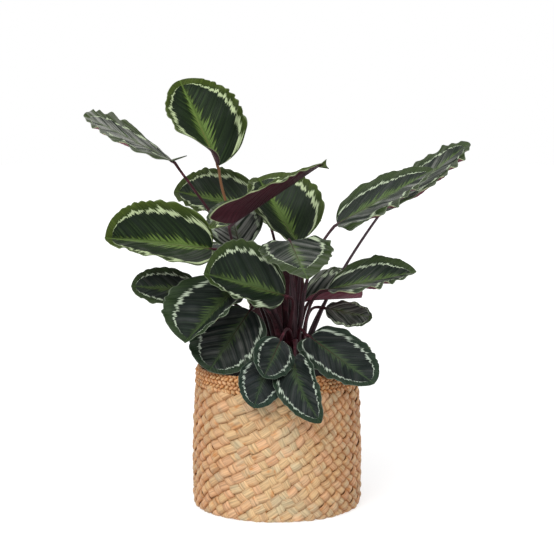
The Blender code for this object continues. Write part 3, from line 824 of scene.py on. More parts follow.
@dataclass(frozen=True)
class BladeForm:
    """The form of a blade: the source's formula with a finer margin on top."""

    leaf: Leaf
    seed: float
    stub: float = 0.0016
    tip: float = 0.0006
    sweep: tuple[float, float] = (0.34, 0.16)
    waves: int = 11
    wave: float = 0.00132
    billow: float = 0.0088
    pleat: float = 0.0019
    pleats: float = 66.0
    notch: float = 0.060
    quilt: float = 0.0004
    groove: float = 0.0006
    groove_width: float = 0.0016
    usual_length: float = 0.12
    far_out: float = 3.0

    def outline(self, s: float, reach: float = 1.0) -> float:
        """Half-width at s as a share of the greatest, for an outline that ends at reach.

        Args:
            s: Place along the midrib.
            reach: Where along the midrib the outline closes.

        Returns:
            The share.
        """
        leaf = self.leaf

        def shape(at: float) -> float:
            """The outline before it is scaled."""
            return at**leaf.shoulder * (1.0 - at) ** leaf.point

        widest = leaf.shoulder / (leaf.shoulder + leaf.point)
        return shape(min(max(s / reach, 0.0), 1.0)) / shape(widest)

    def frame(self, s: float) -> Frame:
        """The frame of the midrib at s.

        Args:
            s: Place along the midrib.

        Returns:
            The frame.
        """
        leaf = self.leaf
        base, tip = Vector(leaf.base), Vector(leaf.tip)
        chord = tip - base
        along = chord.normalized()
        facing = Vector(leaf.facing)
        facing = (facing - along * facing.dot(along)).normalized()
        bend = facing * leaf.bow
        point = base + chord * s + bend * (4.0 * s * (1.0 - s))
        tangent = (chord + bend * (4.0 * (1.0 - 2.0 * s))).normalized()
        normal = (facing - tangent * facing.dot(tangent)).normalized()
        across = tangent.cross(normal)
        turn = math.radians(leaf.twist) * (0.5**3 - (1.0 - s) ** 3)
        normal = normal * math.cos(turn) + across * math.sin(turn)
        return Frame(point, tangent, tangent.cross(normal), normal)

    def half_width(self, s: float) -> float:
        """Half-width of the blade at s, in metres."""
        ends = self.stub * (1.0 - s) + self.tip * s
        return max(self.leaf.width / 2.0 * self.outline(s), ends)

    def point(self, frame: Frame, s: float, v: float) -> Vector:
        """Point of the upper face.

        Args:
            frame: The midrib's frame at s.
            s: Place along the midrib.
            v: Place across the blade, from -1 at the left margin to 1 at the right one.

        Returns:
            The point.
        """
        leaf = self.leaf
        side = (Half.RIGHT if v > 0 else Half.LEFT).value
        fold = math.radians(leaf.folds[side] + leaf.gathers[side] * (1.0 - s) ** 3)
        full = self.outline(s)
        size = abs(v)
        out = size * full
        wavy = min(1.0, 2.0 * full * full)
        start = self.seed + 7.0 * side
        swing = math.cos(self.waves * math.acos(1.0 - 2.0 * s) + math.pi * side)
        uneven = 1.0 + 0.8 * chance(s * 5.0, start)
        ripple = self.wave * wavy * size**3 * swing * uneven
        vein = self.vein(s, out)
        length = (Vector(leaf.tip) - Vector(leaf.base)).length
        frill = leaf.frills[side] * min(length / self.usual_length, 1.0)
        turn = math.pi * self.pleats * length * vein + 1.6 * chance(vein * 4.0, start + 2.0)
        ripple += frill * self.pleat * wavy * size**2.2 * math.sin(turn) * (1.0 + chance(s * 7.0, start))
        ripple += self.billow * wavy * size * (1.0 - size) * chance(s * 6.0, start)
        ripple += self.quilt * math.sin(2.6 * turn) * math.sin(math.pi * min(size * 1.1, 1.0)) * full
        uneven = chance(vein * 10.0, start + 4.0) + 0.5 * chance(vein * 27.0, start + 5.0)
        lobes = abs(math.sin(turn)) - 0.62 + 0.5 * uneven
        ragged = 1.0 + (0.45 + 0.55 * frill) * wavy * size**4 * self.notch * lobes
        reach = size * self.half_width(s) * ragged
        out = reach * math.cos(fold) - ripple * math.sin(fold)
        up = reach * math.sin(fold) + ripple * math.cos(fold)
        up -= self.groove * full * math.exp(-((reach / self.groove_width) ** 2))
        back = leaf.lobe * v * v * full * (1.0 - s) ** 3
        return frame.point + frame.across * math.copysign(out, v) + frame.normal * up - frame.tangent * back

    def vein(self, s: float, out: float) -> float:
        """Where on the midrib the lateral vein through a point starts.

        Args:
            s: Place along the midrib.
            out: Distance from the midrib as a share of the greatest half-width.

        Returns:
            The place along the midrib.
        """
        return s - self.sweep[0] * out - self.sweep[1] * out * out

    def ring(self, s: float, v: float) -> float:
        """How far out a point lies, 1 being the pale ring's inner edge.

        Args:
            s: Place along the midrib.
            v: Place across the blade.

        Returns:
            The share of the way to the ring.
        """
        if s >= self.leaf.ring_end:
            return self.far_out
        room = self.leaf.rings[v > 0] * self.outline(s, self.leaf.ring_end)
        return min(abs(v) * self.outline(s) / max(room, 1e-4), self.far_out)


@dataclass
class Blade:
    """A leaf's blade."""

    form: BladeForm
    thickness: float = 0.0008
    rows: int = 84
    columns: int = 34
    half_seed: float = 4.3

    def build(self, upper: bpy.types.Material, under: bpy.types.Material) -> None:
        """Model the blade.

        Args:
            upper: The upper face's material.
            under: The underside's material.
        """
        form, leaf = self.form, self.form.leaf
        frames = [form.frame(self.station(row / self.rows)) for row in range(self.rows + 1)]

        def place(u: float, w: float) -> Vector:
            """The point of the upper face there."""
            return form.point(frames[round(w * self.rows)], self.station(w), 2.0 * u - 1.0)

        def reach(u: float, w: float) -> float:
            """Distance from the midrib as a share of the greatest half-width."""
            return abs(2.0 * u - 1.0) * form.outline(self.station(w))

        made = Patchwork("reach", "ring", "vein", "seed", "age", "bloom", "rim")
        made.patch(
            self.columns, self.rows, place,
            reach=reach,
            ring=lambda u, w: form.ring(self.station(w), 2.0 * u - 1.0),
            vein=lambda u, w: form.vein(self.station(w), reach(u, w)),
            seed=lambda u, w: form.seed + self.half_seed * (u > 0.5),
            age=leaf.age,
            bloom=lambda u, w: leaf.blooms[u > 0.5],
            rim=lambda u, w: abs(2.0 * u - 1.0),
        )
        if leaf.tab:
            made.patch(6, 6, leaf.tab.point, reach=0.95, ring=lambda u, w: 1.1 + 0.3 * w,
                       vein=lambda u, w: u * 0.4, seed=form.seed, age=leaf.age, bloom=0.8)
        blade = made.finish(f"leaf_blade_{leaf.name}", [upper, under], Slot.LEAF, (f"blade_{leaf.name}",))
        thicken(blade, self.thickness).material_offset = 1

    def station(self, w: float) -> float:
        """Place along the midrib of the row at w: rows lie closer at both ends."""
        return 0.5 * (1.0 - math.cos(math.pi * round(w * self.rows) / self.rows))


@dataclass
class Stalk:
    """A leaf's stalk, with its sheath below and the ridge under the midrib that it runs on into."""

    form: BladeForm
    foot: Vector
    outward: Vector
    sheath_top: float = 0.30
    sheath: float = 1.05
    sheath_fade: float = 0.05
    sheath_round: float = 0.15
    foot_radius: float = 0.0026
    top_radius: float = 0.0019
    straight: float = 0.004
    neck: float = 0.020
    knee: float = 0.005
    depth: float = 0.012
    ridge: tuple[float, ...] = (0.04, 0.10, 0.20, 0.34, 0.50, 0.70)
    ridge_depth: float = 0.0008
    top_depth: float = 0.0011
    joint: float = 0.14
    joint_span: tuple[float, float] = (0.016, 0.009)
    steps: int = 26
    sides: int = 12

    def path(self) -> list[Vector]:
        """Axis of the stalk from below the soil's top to the blade's base.

        Returns:
            The points.
        """
        leaf = self.form.leaf
        start = self.foot + Vector((0.0, 0.0, self.straight))
        frame = self.form.frame(0.0)
        top = frame.point - frame.normal * self.top_depth
        knee = top - frame.tangent * self.knee
        neck = Vector(leaf.neck) if leaf.neck else -frame.tangent * self.neck
        curve = interpolate_bezier(start, start + Vector(leaf.lift), knee + neck, knee, self.steps)
        return [self.foot - Vector((0.0, 0.0, self.depth)), self.foot, *curve[1:], top]

    def build(self, skin: bpy.types.Material) -> None:
        """Model the stalk.

        Args:
            skin: The stalks' material.
        """
        leaf = self.form.leaf
        points = self.path()
        count = len(points)
        for s in self.ridge:
            frame = self.form.frame(s)
            points.append(frame.point - frame.normal * self.ridge_depth)
        steps = [(after - before).length for before, after in zip(points, points[1:])]
        lengths = [0.0, *itertools.accumulate(steps)]
        stem, last = lengths[count - 1], len(points) - 1
        ways = self.ways(points)
        purple, tawny = leaf.stalk.value

        def row(w: float) -> int:
            """Which ring of the tube, -1 and last + 1 being its poles."""
            return round(w * (last + 2)) - 1

        def ring_of(w: float) -> int:
            """Which ring of the tube, with both poles counted with the end rings."""
            return min(max(row(w), 0), last)

        def radius(index: int, angle: float) -> float:
            """Radius of the tube."""
            if not 0 <= index <= last:
                return 0.0
            share = min(lengths[index] / stem, 1.0)
            base = self.foot_radius + (self.top_radius - self.foot_radius) * share
            if index >= count:
                return base * (0.62 - 0.5 * (index - count + 1) / len(self.ridge))
            sheath = 1.0 - smooth(self.sheath_top - self.sheath_fade, self.sheath_top, points[index].z)
            sheath *= 1.0 - smooth(0.55, 0.85, share)
            wide = 1.0 + sheath * (self.sheath_round + self.sheath * math.sin(angle) ** 2)
            joint = 1.0 + self.joint * smooth(*(stem - before for before in self.joint_span), lengths[index])
            return base * wide * joint

        def place(u: float, w: float) -> Vector:
            """Point of the tube."""
            tangent, normal = ways[ring_of(w)]
            angle = u * TAU
            way = normal * math.cos(angle) + tangent.cross(normal) * math.sin(angle)
            return points[ring_of(w)] + way * radius(row(w), angle)

        made = Patchwork("along", "purple", "tawny", "side", "seed")
        made.patch(
            self.sides, last + 2, place,
            along=lambda u, w: min(lengths[ring_of(w)] / stem, 1.0),
            purple=purple,
            tawny=tawny,
            side=lambda u, w: abs(2.0 * u - 1.0),
            seed=self.form.seed,
        )
        made.finish(f"leaf_stalk_{leaf.name}", [skin], Slot.STALK, (f"stalk_{leaf.name}",), outward=True)

    def ways(self, points: list[Vector]) -> list[tuple[Vector, Vector]]:
        """The tube's way and one way across it at each point, turned as little as can be.

        Args:
            points: The tube's axis.

        Returns:
            Pairs of the way along and the way across.
        """
        ways = []
        normal = self.outward.copy()
        for before, after in zip([points[0], *points], [*points[1:], points[-1]]):
            tangent = (after - before).normalized()
            normal = (normal - tangent * normal.dot(tangent)).normalized()
            ways.append((tangent, normal))
        return ways


@dataclass
class Foliage:
    """All the leaves, on stalks that stand in three rings round the crown."""

    finish: LeafFinish = field(default_factory=LeafFinish)
    stalk_finish: StalkFinish = field(default_factory=StalkFinish)
    crown: tuple[float, float] = (0.018, 0.002)
    ring_radii: tuple[float, ...] = (0.0046, 0.0116, 0.0186)
    ring_places: tuple[int, ...] = (3, 9, 15)
    sheath_tops: tuple[float, ...] = (0.35, 0.34, 0.29)

    def outward(self, leaf: Leaf) -> Vector:
        """The way from the crown's middle to the leaf's stalk."""
        ring, place = leaf.place
        angle = TAU * place / self.ring_places[ring]
        return Vector((math.cos(angle), math.sin(angle), 0.0))

    def foot(self, leaf: Leaf) -> Vector:
        """Where the leaf's stalk meets the soil's top."""
        return Vector((*self.crown, SOIL_TOP)) + self.outward(leaf) * self.ring_radii[leaf.place[0]]

    def build(self) -> None:
        """Model every leaf."""
        upper, under = self.finish.upper(), self.finish.under()
        skin = self.stalk_finish.build()
        for rank, leaf in enumerate(LEAVES):
            form = BladeForm(leaf, seed=11.0 + 2.7 * rank)
            Blade(form).build(upper, under)
            Stalk(form, self.foot(leaf), self.outward(leaf), self.sheath_tops[leaf.place[0]]).build(skin)


@dataclass(frozen=True)
class BasketSection:
    """The basket's half section as one line: up the outside, over the rim and down the inside."""

    height: float = 0.194
    foot_radius: float = 0.1085
    foot_rounding: float = 0.0065
    belly_radius: float = 0.1160
    belly_height: float = 0.060
    mouth_radius: float = 0.1105
    wall: float = 0.0045

    def radius(self, z: float) -> float:
        """Outer radius at height z.

        Args:
            z: Height above the floor.

        Returns:
            The radius.
        """
        foot = self.foot_radius + self.foot_rounding
        if z <= self.foot_rounding:
            below = 1.0 - max(z, 0.0) / self.foot_rounding
            return self.foot_radius + self.foot_rounding * math.sqrt(1.0 - below * below)
        if z < self.belly_height:
            share = (z - self.foot_rounding) / (self.belly_height - self.foot_rounding)
            return foot + (self.belly_radius - foot) * math.sin(share * math.pi / 2.0)
        share = (z - self.belly_height) / (self.height - self.belly_height)
        drawn_in = self.belly_radius - self.mouth_radius
        return self.belly_radius - drawn_in * (1.0 - math.cos(share * math.pi / 2.0))

    @property
    def foot_arc(self) -> float:
        """Length of the rounded foot."""
        return self.foot_rounding * math.pi / 2.0

    @property
    def top(self) -> float:
        """Where the line reaches the rim, in metres from the underside's edge."""
        return self.foot_arc + self.height - self.foot_rounding - self.wall / 2.0

    def at(self, t: float, theta: float, lift: float) -> Vector:
        """Point of the basket's surface.

        Args:
            t: Metres along the line from the underside's edge; less than 0 is under the basket.
            theta: Angle round the axis, 0 at the front and growing to the right.
            lift: Metres that the point stands off the surface.

        Returns:
            The point.
        """
        half_wall = self.wall / 2.0
        if t < 0.0:
            radius, z, out, up = self.foot_radius + t, 0.0, 0.0, -1.0
        elif t < self.foot_arc:
            turn = t / self.foot_rounding
            out, up = math.sin(turn), -math.cos(turn)
            radius = self.foot_radius + self.foot_rounding * out
            z = self.foot_rounding * (1.0 + up)
        elif t < self.top:
            z = self.foot_rounding + t - self.foot_arc
            radius, out, up = self.radius(z), 1.0, 0.0
        elif t < self.top + math.pi * half_wall:
            turn = (t - self.top) / half_wall
            out, up = math.cos(turn), math.sin(turn)
            radius = self.mouth_radius - half_wall + half_wall * out
            z = self.height - half_wall + half_wall * up
        else:
            z = self.height - half_wall - (t - self.top - math.pi * half_wall)
            radius, out, up = self.radius(z) - self.wall, -1.0, 0.0
        radius += out * lift
        return Vector((radius * math.sin(theta), -radius * math.cos(theta), z + up * lift))


class Weave:
    """The course of the strips round the basket.

    Both families cross about at right angles. At the back and the sides they stand at 45
    degrees, near the front the rising ones lie flatter, and on the right both do. Angles are
    in degrees, and places and spreads round the basket are shares of a turn.
    """

    diagonal: float = 45.0
    front_changes: tuple[float, float] = (-15.0, 13.0)
    front_place: float = 0.485
    front_spread: float = 0.125
    right_drop: float = 11.0
    right_place: float = 0.67
    right_spread: float = 0.08
    rounds: int = 14
    close: float = 1e-7

    def __init__(self, girth: float, strip: float, steps: int = 720) -> None:
        """Work out how the strips' numbers grow round the basket.

        Args:
            girth: Length once round, in metres.
            strip: Width of a strip with its gap, in metres.
            steps: How finely the girth is stepped.
        """
        self.girth, self.strip, self.steps = girth, strip, steps
        self.runs: list[list[float]] = []
        self.rises: list[list[float]] = []
        self.counts: list[int] = []
        for family in Family:
            slopes = (math.sin(self.angle(family, (index + 0.5) / steps)) for index in range(steps))
            runs = [0.0, *itertools.accumulate(slope * girth / steps / strip for slope in slopes)]
            count = round(runs[-1])
            if family is Family.FALLING and (count + self.counts[0]) % 2:
                count -= 1
            self.counts.append(count)
            self.runs.append([run * count / runs[-1] for run in runs])
            angles = (self.angle(family, index / steps) for index in range(steps + 1))
            self.rises.append([math.cos(angle) / strip for angle in angles])

    def angle(self, family: Family, turn: float) -> float:
        """How steeply a family's strips run.

        Args:
            family: The strips' family.
            turn: Share of the way round, 0.5 being the front.

        Returns:
            The angle in radians.
        """
        flatter = self.right_drop * math.exp(-(((turn - self.right_place) / self.right_spread) ** 2))
        change = self.front_changes[family.value] * self.front(turn)
        return math.radians(self.diagonal + change - flatter)

    def front(self, turn: float) -> float:
        """How near the front a place round the basket is, from 0 to 1."""
        return math.exp(-(((turn - self.front_place) / self.front_spread) ** 2))

    def number(self, family: Family, x: float, t: float) -> tuple[float, float, float]:
        """Which strip of a family covers a point.

        Args:
            family: The strips' family.
            x: Metres round the basket.
            t: Metres up its side.

        Returns:
            The strip's number with its fraction, and how fast that grows with x and with t.
        """
        turn = x / self.girth
        whole = math.floor(turn)
        place = (turn - whole) * self.steps
        step = min(int(place), self.steps - 1)
        runs, rises = self.runs[family.value], self.rises[family.value]
        sign = -1.0 if family is Family.RISING else 1.0
        run = runs[step] + (runs[step + 1] - runs[step]) * (place - step) + whole * self.counts[family.value]
        rise = rises[step] + (rises[step + 1] - rises[step]) * (place - step)
        per_metre = self.steps / self.girth
        slope = (sign * (runs[step + 1] - runs[step]) + t * (rises[step + 1] - rises[step])) * per_metre
        return sign * run + t * rise, slope, rise

    def point(self, rising: float, falling: float) -> tuple[float, float]:
        """The point of the side where two strips cross.

        Args:
            rising: Number of the rising strip.
            falling: Number of the falling strip.

        Returns:
            Metres round the basket and metres up its side.
        """
        x = (falling - rising) * self.girth / sum(self.counts)
        t = (falling + rising) * self.strip * 0.7
        for _ in range(self.rounds):
            a, a_x, a_t = self.number(Family.RISING, x, t)
            b, b_x, b_t = self.number(Family.FALLING, x, t)
            size = a_x * b_t - a_t * b_x
            across = ((rising - a) * b_t - a_t * (falling - b)) / size
            up = (a_x * (falling - b) - b_x * (rising - a)) / size
            calm = min(1.0, self.strip / max(abs(across), abs(up), 1e-9))
            x, t = x + calm * across, t + calm * up
            if max(abs(across), abs(up)) < self.close:
                break
        return x, t


@dataclass
class Basket:
    """The woven basket: diagonal strips over a backing, a twined border, and a woven underside."""

    section: BasketSection = field(default_factory=BasketSection)
    finish: SeagrassFinish = field(default_factory=SeagrassFinish)
    strip: float = 0.0125
    crown: float = 0.0020
    border_height: float = 0.021
    border_rows: int = 4
    border_knots: int = 92
    border_lap: float = 0.002
    foot_lap: float = 0.006
    inside_start: float = 0.006
    inside_depth: float = 0.072
    floor_gap: float = 0.0002
    strip_values: tuple[str, ...] = ("tone", "tint", "along", "across", "low")
    strip_thickness: float = 0.0006
    underside_thickness: float = 0.0005
    underside_height: float = 0.0014
    underside_inset: float = 0.003
    stretch: float = 1.34
    crowns: tuple[float, float] = (0.75, 1.25)
    widths: tuple[float, float] = (0.92, 1.14)
    tilt: float = 0.6
    slack: float = 0.11
    slant: float = 0.20
    edge_drop: float = 0.0014
    puff_back: float = 1.35
    puff_loss: float = 0.75
    knot_slant: float = 0.55
    knot_bulge: float = 0.0016
    backing_inset: float = 0.0014
    floor_bottom: float = 0.0026
    floor_top: float = 0.0045
    sides: int = 96

    def build(self) -> None:
        """Model the basket."""
        strips = self.finish.strips("seagrass_strips", 0.0)
        warm = self.finish.strips("seagrass_border", 1.0)
        weave = Weave(TAU * self.section.belly_radius, self.strip)
        weave_top = self.section.top - self.border_height + self.border_lap
        inside = self.section.top + math.pi * self.section.wall / 2.0 + self.inside_start
        self.wall("basket_weave", weave, strips, (-self.foot_lap, weave_top), 0.0, ("basket",))
        self.wall("basket_weave_inside", weave, strips, (0.0, self.inside_depth), inside, ())
        self.border(warm)
        self.underside(strips)
        self.backing()

    def cell(self, made: Patchwork, place: Crossing, rising: int, falling: int, puff: float = 1.0) -> None:
        """Add the stretch of a strip that shows where two strips cross.

        Args:
            made: The mesh to add it to.
            place: Gives the point for numbers of the rising and the falling strip and a lift.
            rising: Number of the rising strip.
            falling: Number of the falling strip.
            puff: How much it bulges, 1 being the usual.
        """
        on_top = Family.RISING if (rising + falling) % 2 else Family.FALLING
        strip, crossing = (rising, falling) if on_top is Family.RISING else (falling, rising)
        dice = random.Random(strip * 7919 + crossing * 104729 + on_top.value * 31)
        strip_dice = random.Random(strip * 613 + on_top.value * 17)
        tone, tint = strip_dice.random(), dice.random()
        tone = min(max(0.7 * tone + dice.uniform(-0.05, 0.35), 0.0), 1.0)
        crown = self.crown * puff * dice.uniform(*self.crowns)
        tilt = dice.uniform(-self.tilt, self.tilt)
        slack = dice.uniform(-self.slack, self.slack)
        width = dice.uniform(*self.widths)
        slant = dice.uniform(-self.slant, self.slant)
        start = dice.uniform(0.0, 50.0)
        faint = smooth(0.5, 1.4, puff)

        def spot(u: float, v: float) -> tuple[float, float]:
            """How far along and across the strip that is from the crossing's middle, in strips."""
            return (v - 0.5) * self.stretch, (u - 0.5) * width

        def low(u: float, v: float) -> float:
            """Painted shade on the strip there: darkest along its lower edges, where the next ones cover it.
            """
            run, side = spot(u, v)
            ends, edges = dimmed(run, 0.60, 0.62), dimmed(side, 0.50, 0.54)
            if on_top is Family.RISING:
                ends *= faint
            else:
                edges *= faint
            # Painted shade: the whole stretch darkens more where it puffs out at the back and sides, on top
            # of its darker edges.
            return 0.62 * (puff - 0.70) + puff * min(max(ends, edges), 1.0)

        def point(u: float, v: float) -> Vector:
            """Point of the strip."""
            run, side = spot(u, v)
            height = crown * (math.cos(math.pi * run * 0.92) + tilt * side - 0.25)
            height -= self.edge_drop * puff * (2.0 * abs(side)) ** 2.6
            along, beside = crossing + 0.5 + run, strip + 0.5 + side + slack + slant * run
            numbers = (beside, along) if on_top is Family.RISING else (along, beside)
            return place(*numbers, height)

        made.patch(
            4, 8, point,
            tone=tone,
            tint=tint,
            along=lambda u, v: start + (v - 0.5) * self.stretch * self.strip,
            across=lambda u, v: (u - 0.5) * self.strip,
            low=low,
        )

    def wall(self, name: str, weave: Weave, material: bpy.types.Material, span: tuple[float, float],
             start: float, replaced: tuple[str, ...]) -> None:
        """Weave a band of the basket's side.

        Args:
            name: The piece's name.
            weave: The strips' course.
            material: The strips' material.
            span: The band's ends, in metres along the section from start.
            start: Where along the section the band's zero lies.
            replaced: CAD nodes that it stands for.
        """
        made = Patchwork(*self.strip_values)
        low, high = span
        reach = math.ceil(high / self.strip) + 2

        def place(rising: float, falling: float, lift: float) -> Vector:
            """Point of the side for the strips' numbers."""
            x, t = weave.point(rising, falling)
            spot = self.section.at(start + t, (x / weave.girth - 0.5) * TAU, lift)
            spot.z = max(spot.z, self.floor_gap)
            return spot

        for rising in range(-weave.counts[0] - 2, reach):
            for falling in range(-2, weave.counts[1] + reach):
                x, t = weave.point(rising + 0.5, falling + 0.5)
                if 0.0 <= x < weave.girth and low < t < high:
                    puff = self.puff_back - self.puff_loss * weave.front(x / weave.girth)
                    self.cell(made, place, rising, falling, puff)
        thicken(made.finish(name, [material], Slot.SEAGRASS, replaced), self.strip_thickness)

    def border(self, material: bpy.types.Material) -> None:
        """Twine the border's rows and the rope over the rim.

        Args:
            material: The border's material.
        """
        made = Patchwork(*self.strip_values)
        for row, place in itertools.product(range(self.border_rows + 2), range(self.border_knots)):
            self.knot(made, row, place)
        thicken(made.finish("basket_border", [material], Slot.SEAGRASS), self.strip_thickness)

    def knot(self, made: Patchwork, row: int, place: int) -> None:
        """Add one knot of the border.

        Args:
            made: The mesh to add it to.
            row: Its row, counted upwards.
            place: Its place in the row.
        """
        dice = random.Random(row * 1009 + place * 9176 + 5)
        row_height = self.border_height / self.border_rows
        middle = self.section.top - self.border_height + (row + 0.5) * row_height
        slant = self.knot_slant if row % 2 else -self.knot_slant
        turn = (place + 0.5 * (row % 2) + dice.uniform(-0.08, 0.08)) / self.border_knots
        size = dice.uniform(0.92, 1.08)
        bulge = self.knot_bulge * dice.uniform(0.7, 1.3) * (0.6 if row >= self.border_rows else 1.0)
        start = dice.uniform(0.0, 50.0)

        def point(u: float, v: float) -> Vector:
            """Point of the knot."""
            run, side = (u - 0.5) * 1.16 * size, (v - 0.5) * 1.12
            high = max(1.0 - (2.0 * run) ** 2 * 0.72, 0.0) * max(1.0 - (2.0 * side) ** 2 * 0.75, 0.0)
            theta = (turn + run / self.border_knots - 0.5) * TAU
            t = middle + (side + slant * run) * row_height
            return self.section.at(t, theta, bulge * (2.1 * math.sqrt(high) - 0.6))

        def low(u: float, v: float) -> float:
            """Painted shade on the knot there: darkest at its ends and its lower side."""
            return 1.35 * max(smooth(0.16, 0.48, abs(u - 0.5)), smooth(0.05, 0.45, 0.5 - v))

        made.patch(
            6, 5, point,
            tone=dice.random(),
            tint=dice.random(),
            along=lambda u, v: start + u * 0.0075,
            across=lambda u, v: (v - 0.5) * 0.006,
            low=low,
        )

    def underside(self, material: bpy.types.Material) -> None:
        """Weave the flat underside.

        Args:
            material: The strips' material.
        """
        made = Patchwork(*self.strip_values)
        limit = self.section.foot_radius - self.underside_inset
        reach = math.ceil(limit / self.strip)

        def place(rising: float, falling: float, lift: float) -> Vector:
            """Point of the underside for the strips' numbers."""
            x, y = (falling - 0.5) * self.strip, (rising - 0.5) * self.strip
            inward = min(limit / max(math.hypot(x, y), 1e-9), 1.0)
            return Vector((x * inward, -y * inward, max(self.underside_height - 0.8 * lift, self.floor_gap)))

        for rising, falling in itertools.product(range(-reach, reach + 1), repeat=2):
            if math.hypot(rising, falling) * self.strip <= limit + 0.002:
                self.cell(made, place, rising, falling)
        piece = made.finish("basket_weave_underside", [material], Slot.SEAGRASS)
        thicken(piece, self.underside_thickness)

    def backing(self) -> None:
        """Turn the wall and floor that lie behind the strips."""
        section, inset = self.section, self.backing_inset
        rise = section.height - 0.004 - section.foot_rounding
        heights = [section.foot_rounding + rise * step / 14 for step in range(15)]
        outside = [(section.radius(z) - inset, z) for z in heights]
        inside = [(section.radius(z) - section.wall + inset, z) for z in reversed(heights)]
        inside[-1] = (section.foot_radius - section.wall, self.floor_top)
        below = [(0.0, self.floor_bottom), (section.foot_radius - 0.002, self.floor_bottom)]
        made = Patchwork()
        made.spun([*below, *outside, *inside, (0.0, self.floor_top)], self.sides)
        made.finish("basket_backing", [self.finish.liner()], Slot.SEAGRASS, outward=True)


@dataclass
class GrowPot:
    """The plastic pot inside the basket, with a rolled rim."""

    finish: PotFinish = field(default_factory=PotFinish)
    bottom: float = 0.0046
    height: float = 0.172
    mouth_radius: float = 0.100
    foot_radius: float = 0.084
    wall: float = 0.0016
    sides: int = 96

    def build(self) -> None:
        """Model the pot."""
        rim = self.bottom + self.height
        mouth, foot, wall = self.mouth_radius, self.foot_radius, self.wall
        profile = [
            (0.0, self.bottom),
            (foot - 0.003, self.bottom),
            (foot, self.bottom + 0.003),
            (mouth - 0.0022, rim - 0.012),
            (mouth + 0.0004, rim - 0.0115),
            (mouth + 0.0008, rim - 0.003),
            (mouth + 0.0004, rim - 0.0008),
            (mouth - 0.0004, rim),
            (mouth - wall, rim),
            (mouth - wall - 0.0006, rim - 0.001),
            (foot - wall, self.bottom + wall),
            (0.0, self.bottom + wall),
        ]
        made = Patchwork()
        made.spun(profile, self.sides)
        made.finish("plastic_grow_pot", [self.finish.build()], Slot.POT, ("grow_pot",), outward=True)


@dataclass
class Soil:
    """The soil, with a crumbly top that rises a little round the stalks."""

    finish: SoilFinish = field(default_factory=SoilFinish)
    top: float = SOIL_TOP
    bottom: float = 0.0068
    top_radius: float = 0.0968
    foot_radius: float = 0.0818
    rings: int = 44
    sides: int = 120
    coarse: float = 0.0028
    fine: float = 0.0016
    heap: float = 0.003
    crumbs: int = 420
    crumb_sizes: tuple[float, float] = (0.0008, 0.0026)

    def build(self) -> None:
        """Model the soil."""
        made = Patchwork()

        def place(u: float, v: float) -> Vector:
            """Point of the soil's top or side."""
            share = min(v * 1.1, 1.0)
            drop = max(v * 1.1 - 1.0, 0.0) / 0.1
            radius = self.top_radius * share
            radius += (self.foot_radius - self.top_radius) * drop
            spot = self.spot(radius, u * TAU, self.top)
            rough = self.coarse * noise.noise(spot * 60.0) + self.fine * noise.noise(spot * 190.0)
            heap = self.heap * math.exp(-((share / 0.4) ** 2))
            spot.z += (rough + heap) * (1.0 - smooth(0.94, 1.0, share))
            spot.z += (self.bottom - self.top) * drop
            return spot

        made.patch(self.sides, self.rings, place)
        made.patch(self.sides, 2, lambda u, v: self.spot(self.foot_radius * v, u * TAU, self.bottom))
        dice = random.Random(4)
        for _ in range(self.crumbs):
            radius = self.top_radius * 0.95 * math.sqrt(dice.random())
            spot = self.spot(radius, dice.random() * TAU, self.top + 0.0008)
            size = dice.uniform(*self.crumb_sizes)
            turn = Matrix.Rotation(dice.random() * TAU, 4, "Z") @ Matrix.Rotation(dice.random(), 4, "X")
            squat = Matrix.Diagonal((size, size * dice.uniform(0.6, 1.0), size * dice.uniform(0.4, 0.9), 1.0))
            bmesh.ops.create_icosphere(made.bm, subdivisions=1, radius=1.0,
                                       matrix=Matrix.Translation(spot) @ turn @ squat)
        made.finish("soil_surface", [self.finish.build()], Slot.SOIL, ("soil",), outward=True)

    @staticmethod
    def spot(radius: float, angle: float, z: float) -> Vector:
        """The point at that radius, angle and height."""
        return Vector((radius * math.cos(angle), radius * math.sin(angle), z))


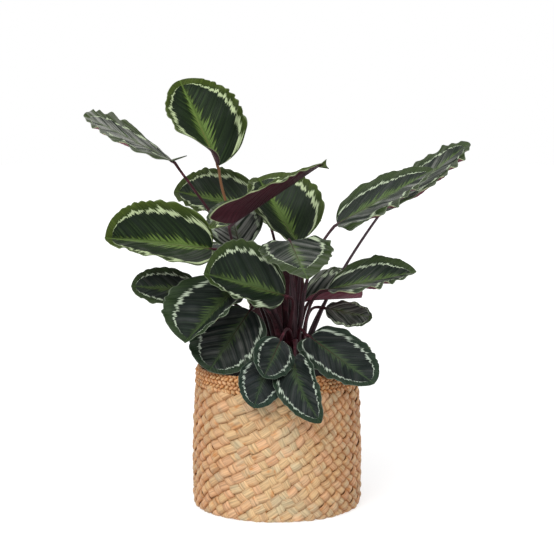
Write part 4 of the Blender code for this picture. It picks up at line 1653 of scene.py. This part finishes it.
@dataclass
class Studio:
    """A plain pale floor, soft lamps, a pale surround and the camera at the photograph's viewpoint."""

    eye: Triple = (0.0, -2.05, 0.54)
    pitch_degrees: float = 6.24
    focal_px: float = 1490.0
    width_px: float = 554.0
    sensor_mm: float = 36.0
    zenith: float = 1.05
    horizon: float = 0.55
    key: float = 1.9
    key_way: Triple = (0.30, 0.85, -0.90)
    key_softness_degrees: float = 40.0
    paper: float = 0.45
    glow: float = 0.62

    def build(self) -> None:
        """Set up the stage."""
        bpy.context.scene.view_settings.view_transform = "Standard"
        self.floor()
        self.surround()
        self.sun()
        self.camera()

    def floor(self) -> None:
        """Lay the floor."""
        bm = bmesh.new()
        bmesh.ops.create_grid(bm, x_segments=1, y_segments=1, size=14.0)
        mesh = bpy.data.meshes.new("studio_floor")
        bm.to_mesh(mesh)
        bm.free()
        piece = placed("studio_floor", mesh)
        surface = Surface("studio_paper")
        grey = (self.paper, self.paper, self.paper)
        mesh.materials.append(surface.settle(Base_Color=grey, Roughness=0.9, Emission_Color=WHITE,
                                             Emission_Strength=self.glow, Specular_IOR_Level=0.0))

    def surround(self) -> None:
        """Make the surround: a soft pale dome lights the stage, and the camera sees plain white."""
        world = bpy.data.worlds.new("studio_surround")
        world.use_nodes = True
        made = Nodes(world.node_tree)
        way = made.node("ShaderNodeTexCoord").outputs["Generated"]
        up = made.node("ShaderNodeSeparateXYZ", {0: way}).outputs["Z"]
        dome = made.node("ShaderNodeMapRange", {"Value": up, "To Min": self.horizon, "To Max": self.zenith})
        light = made.node("ShaderNodeBackground", {"Color": WHITE, "Strength": dome.outputs["Result"]})
        paper = made.node("ShaderNodeBackground", {"Color": WHITE})
        rays = made.node("ShaderNodeLightPath").outputs["Is Camera Ray"]
        choice = made.node("ShaderNodeMixShader", {0: rays, 1: light.outputs[0], 2: paper.outputs[0]})
        made.feed(world.node_tree.nodes["World Output"].inputs["Surface"], choice.outputs[0])
        bpy.context.scene.world = world

    def sun(self) -> None:
        """Light the stage evenly from the upper left of the camera."""
        data = bpy.data.lights.new("key_light", "SUN")
        data.energy = self.key
        data.angle = math.radians(self.key_softness_degrees)
        made = placed("key_light", data)
        made.rotation_euler = Vector(self.key_way).to_track_quat("-Z", "Y").to_euler()

    def camera(self) -> None:
        """Set the camera."""
        data = bpy.data.cameras.new("photo_camera")
        data.sensor_fit = "HORIZONTAL"
        data.sensor_width = self.sensor_mm
        data.lens = self.focal_px * self.sensor_mm / self.width_px
        made = placed("photo_camera", data)
        made.location = self.eye
        made.rotation_euler = (math.radians(90.0 - self.pitch_degrees), 0.0, 0.0)
        bpy.context.scene.camera = made


def main() -> None:
    """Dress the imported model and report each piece."""
    logging.basicConfig(level=logging.INFO, format="%(name)s %(message)s")
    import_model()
    Foliage().build()
    Basket().build()
    GrowPot().build()
    Soil().build()
    Studio().build()


if __name__ == "__main__":
    main()
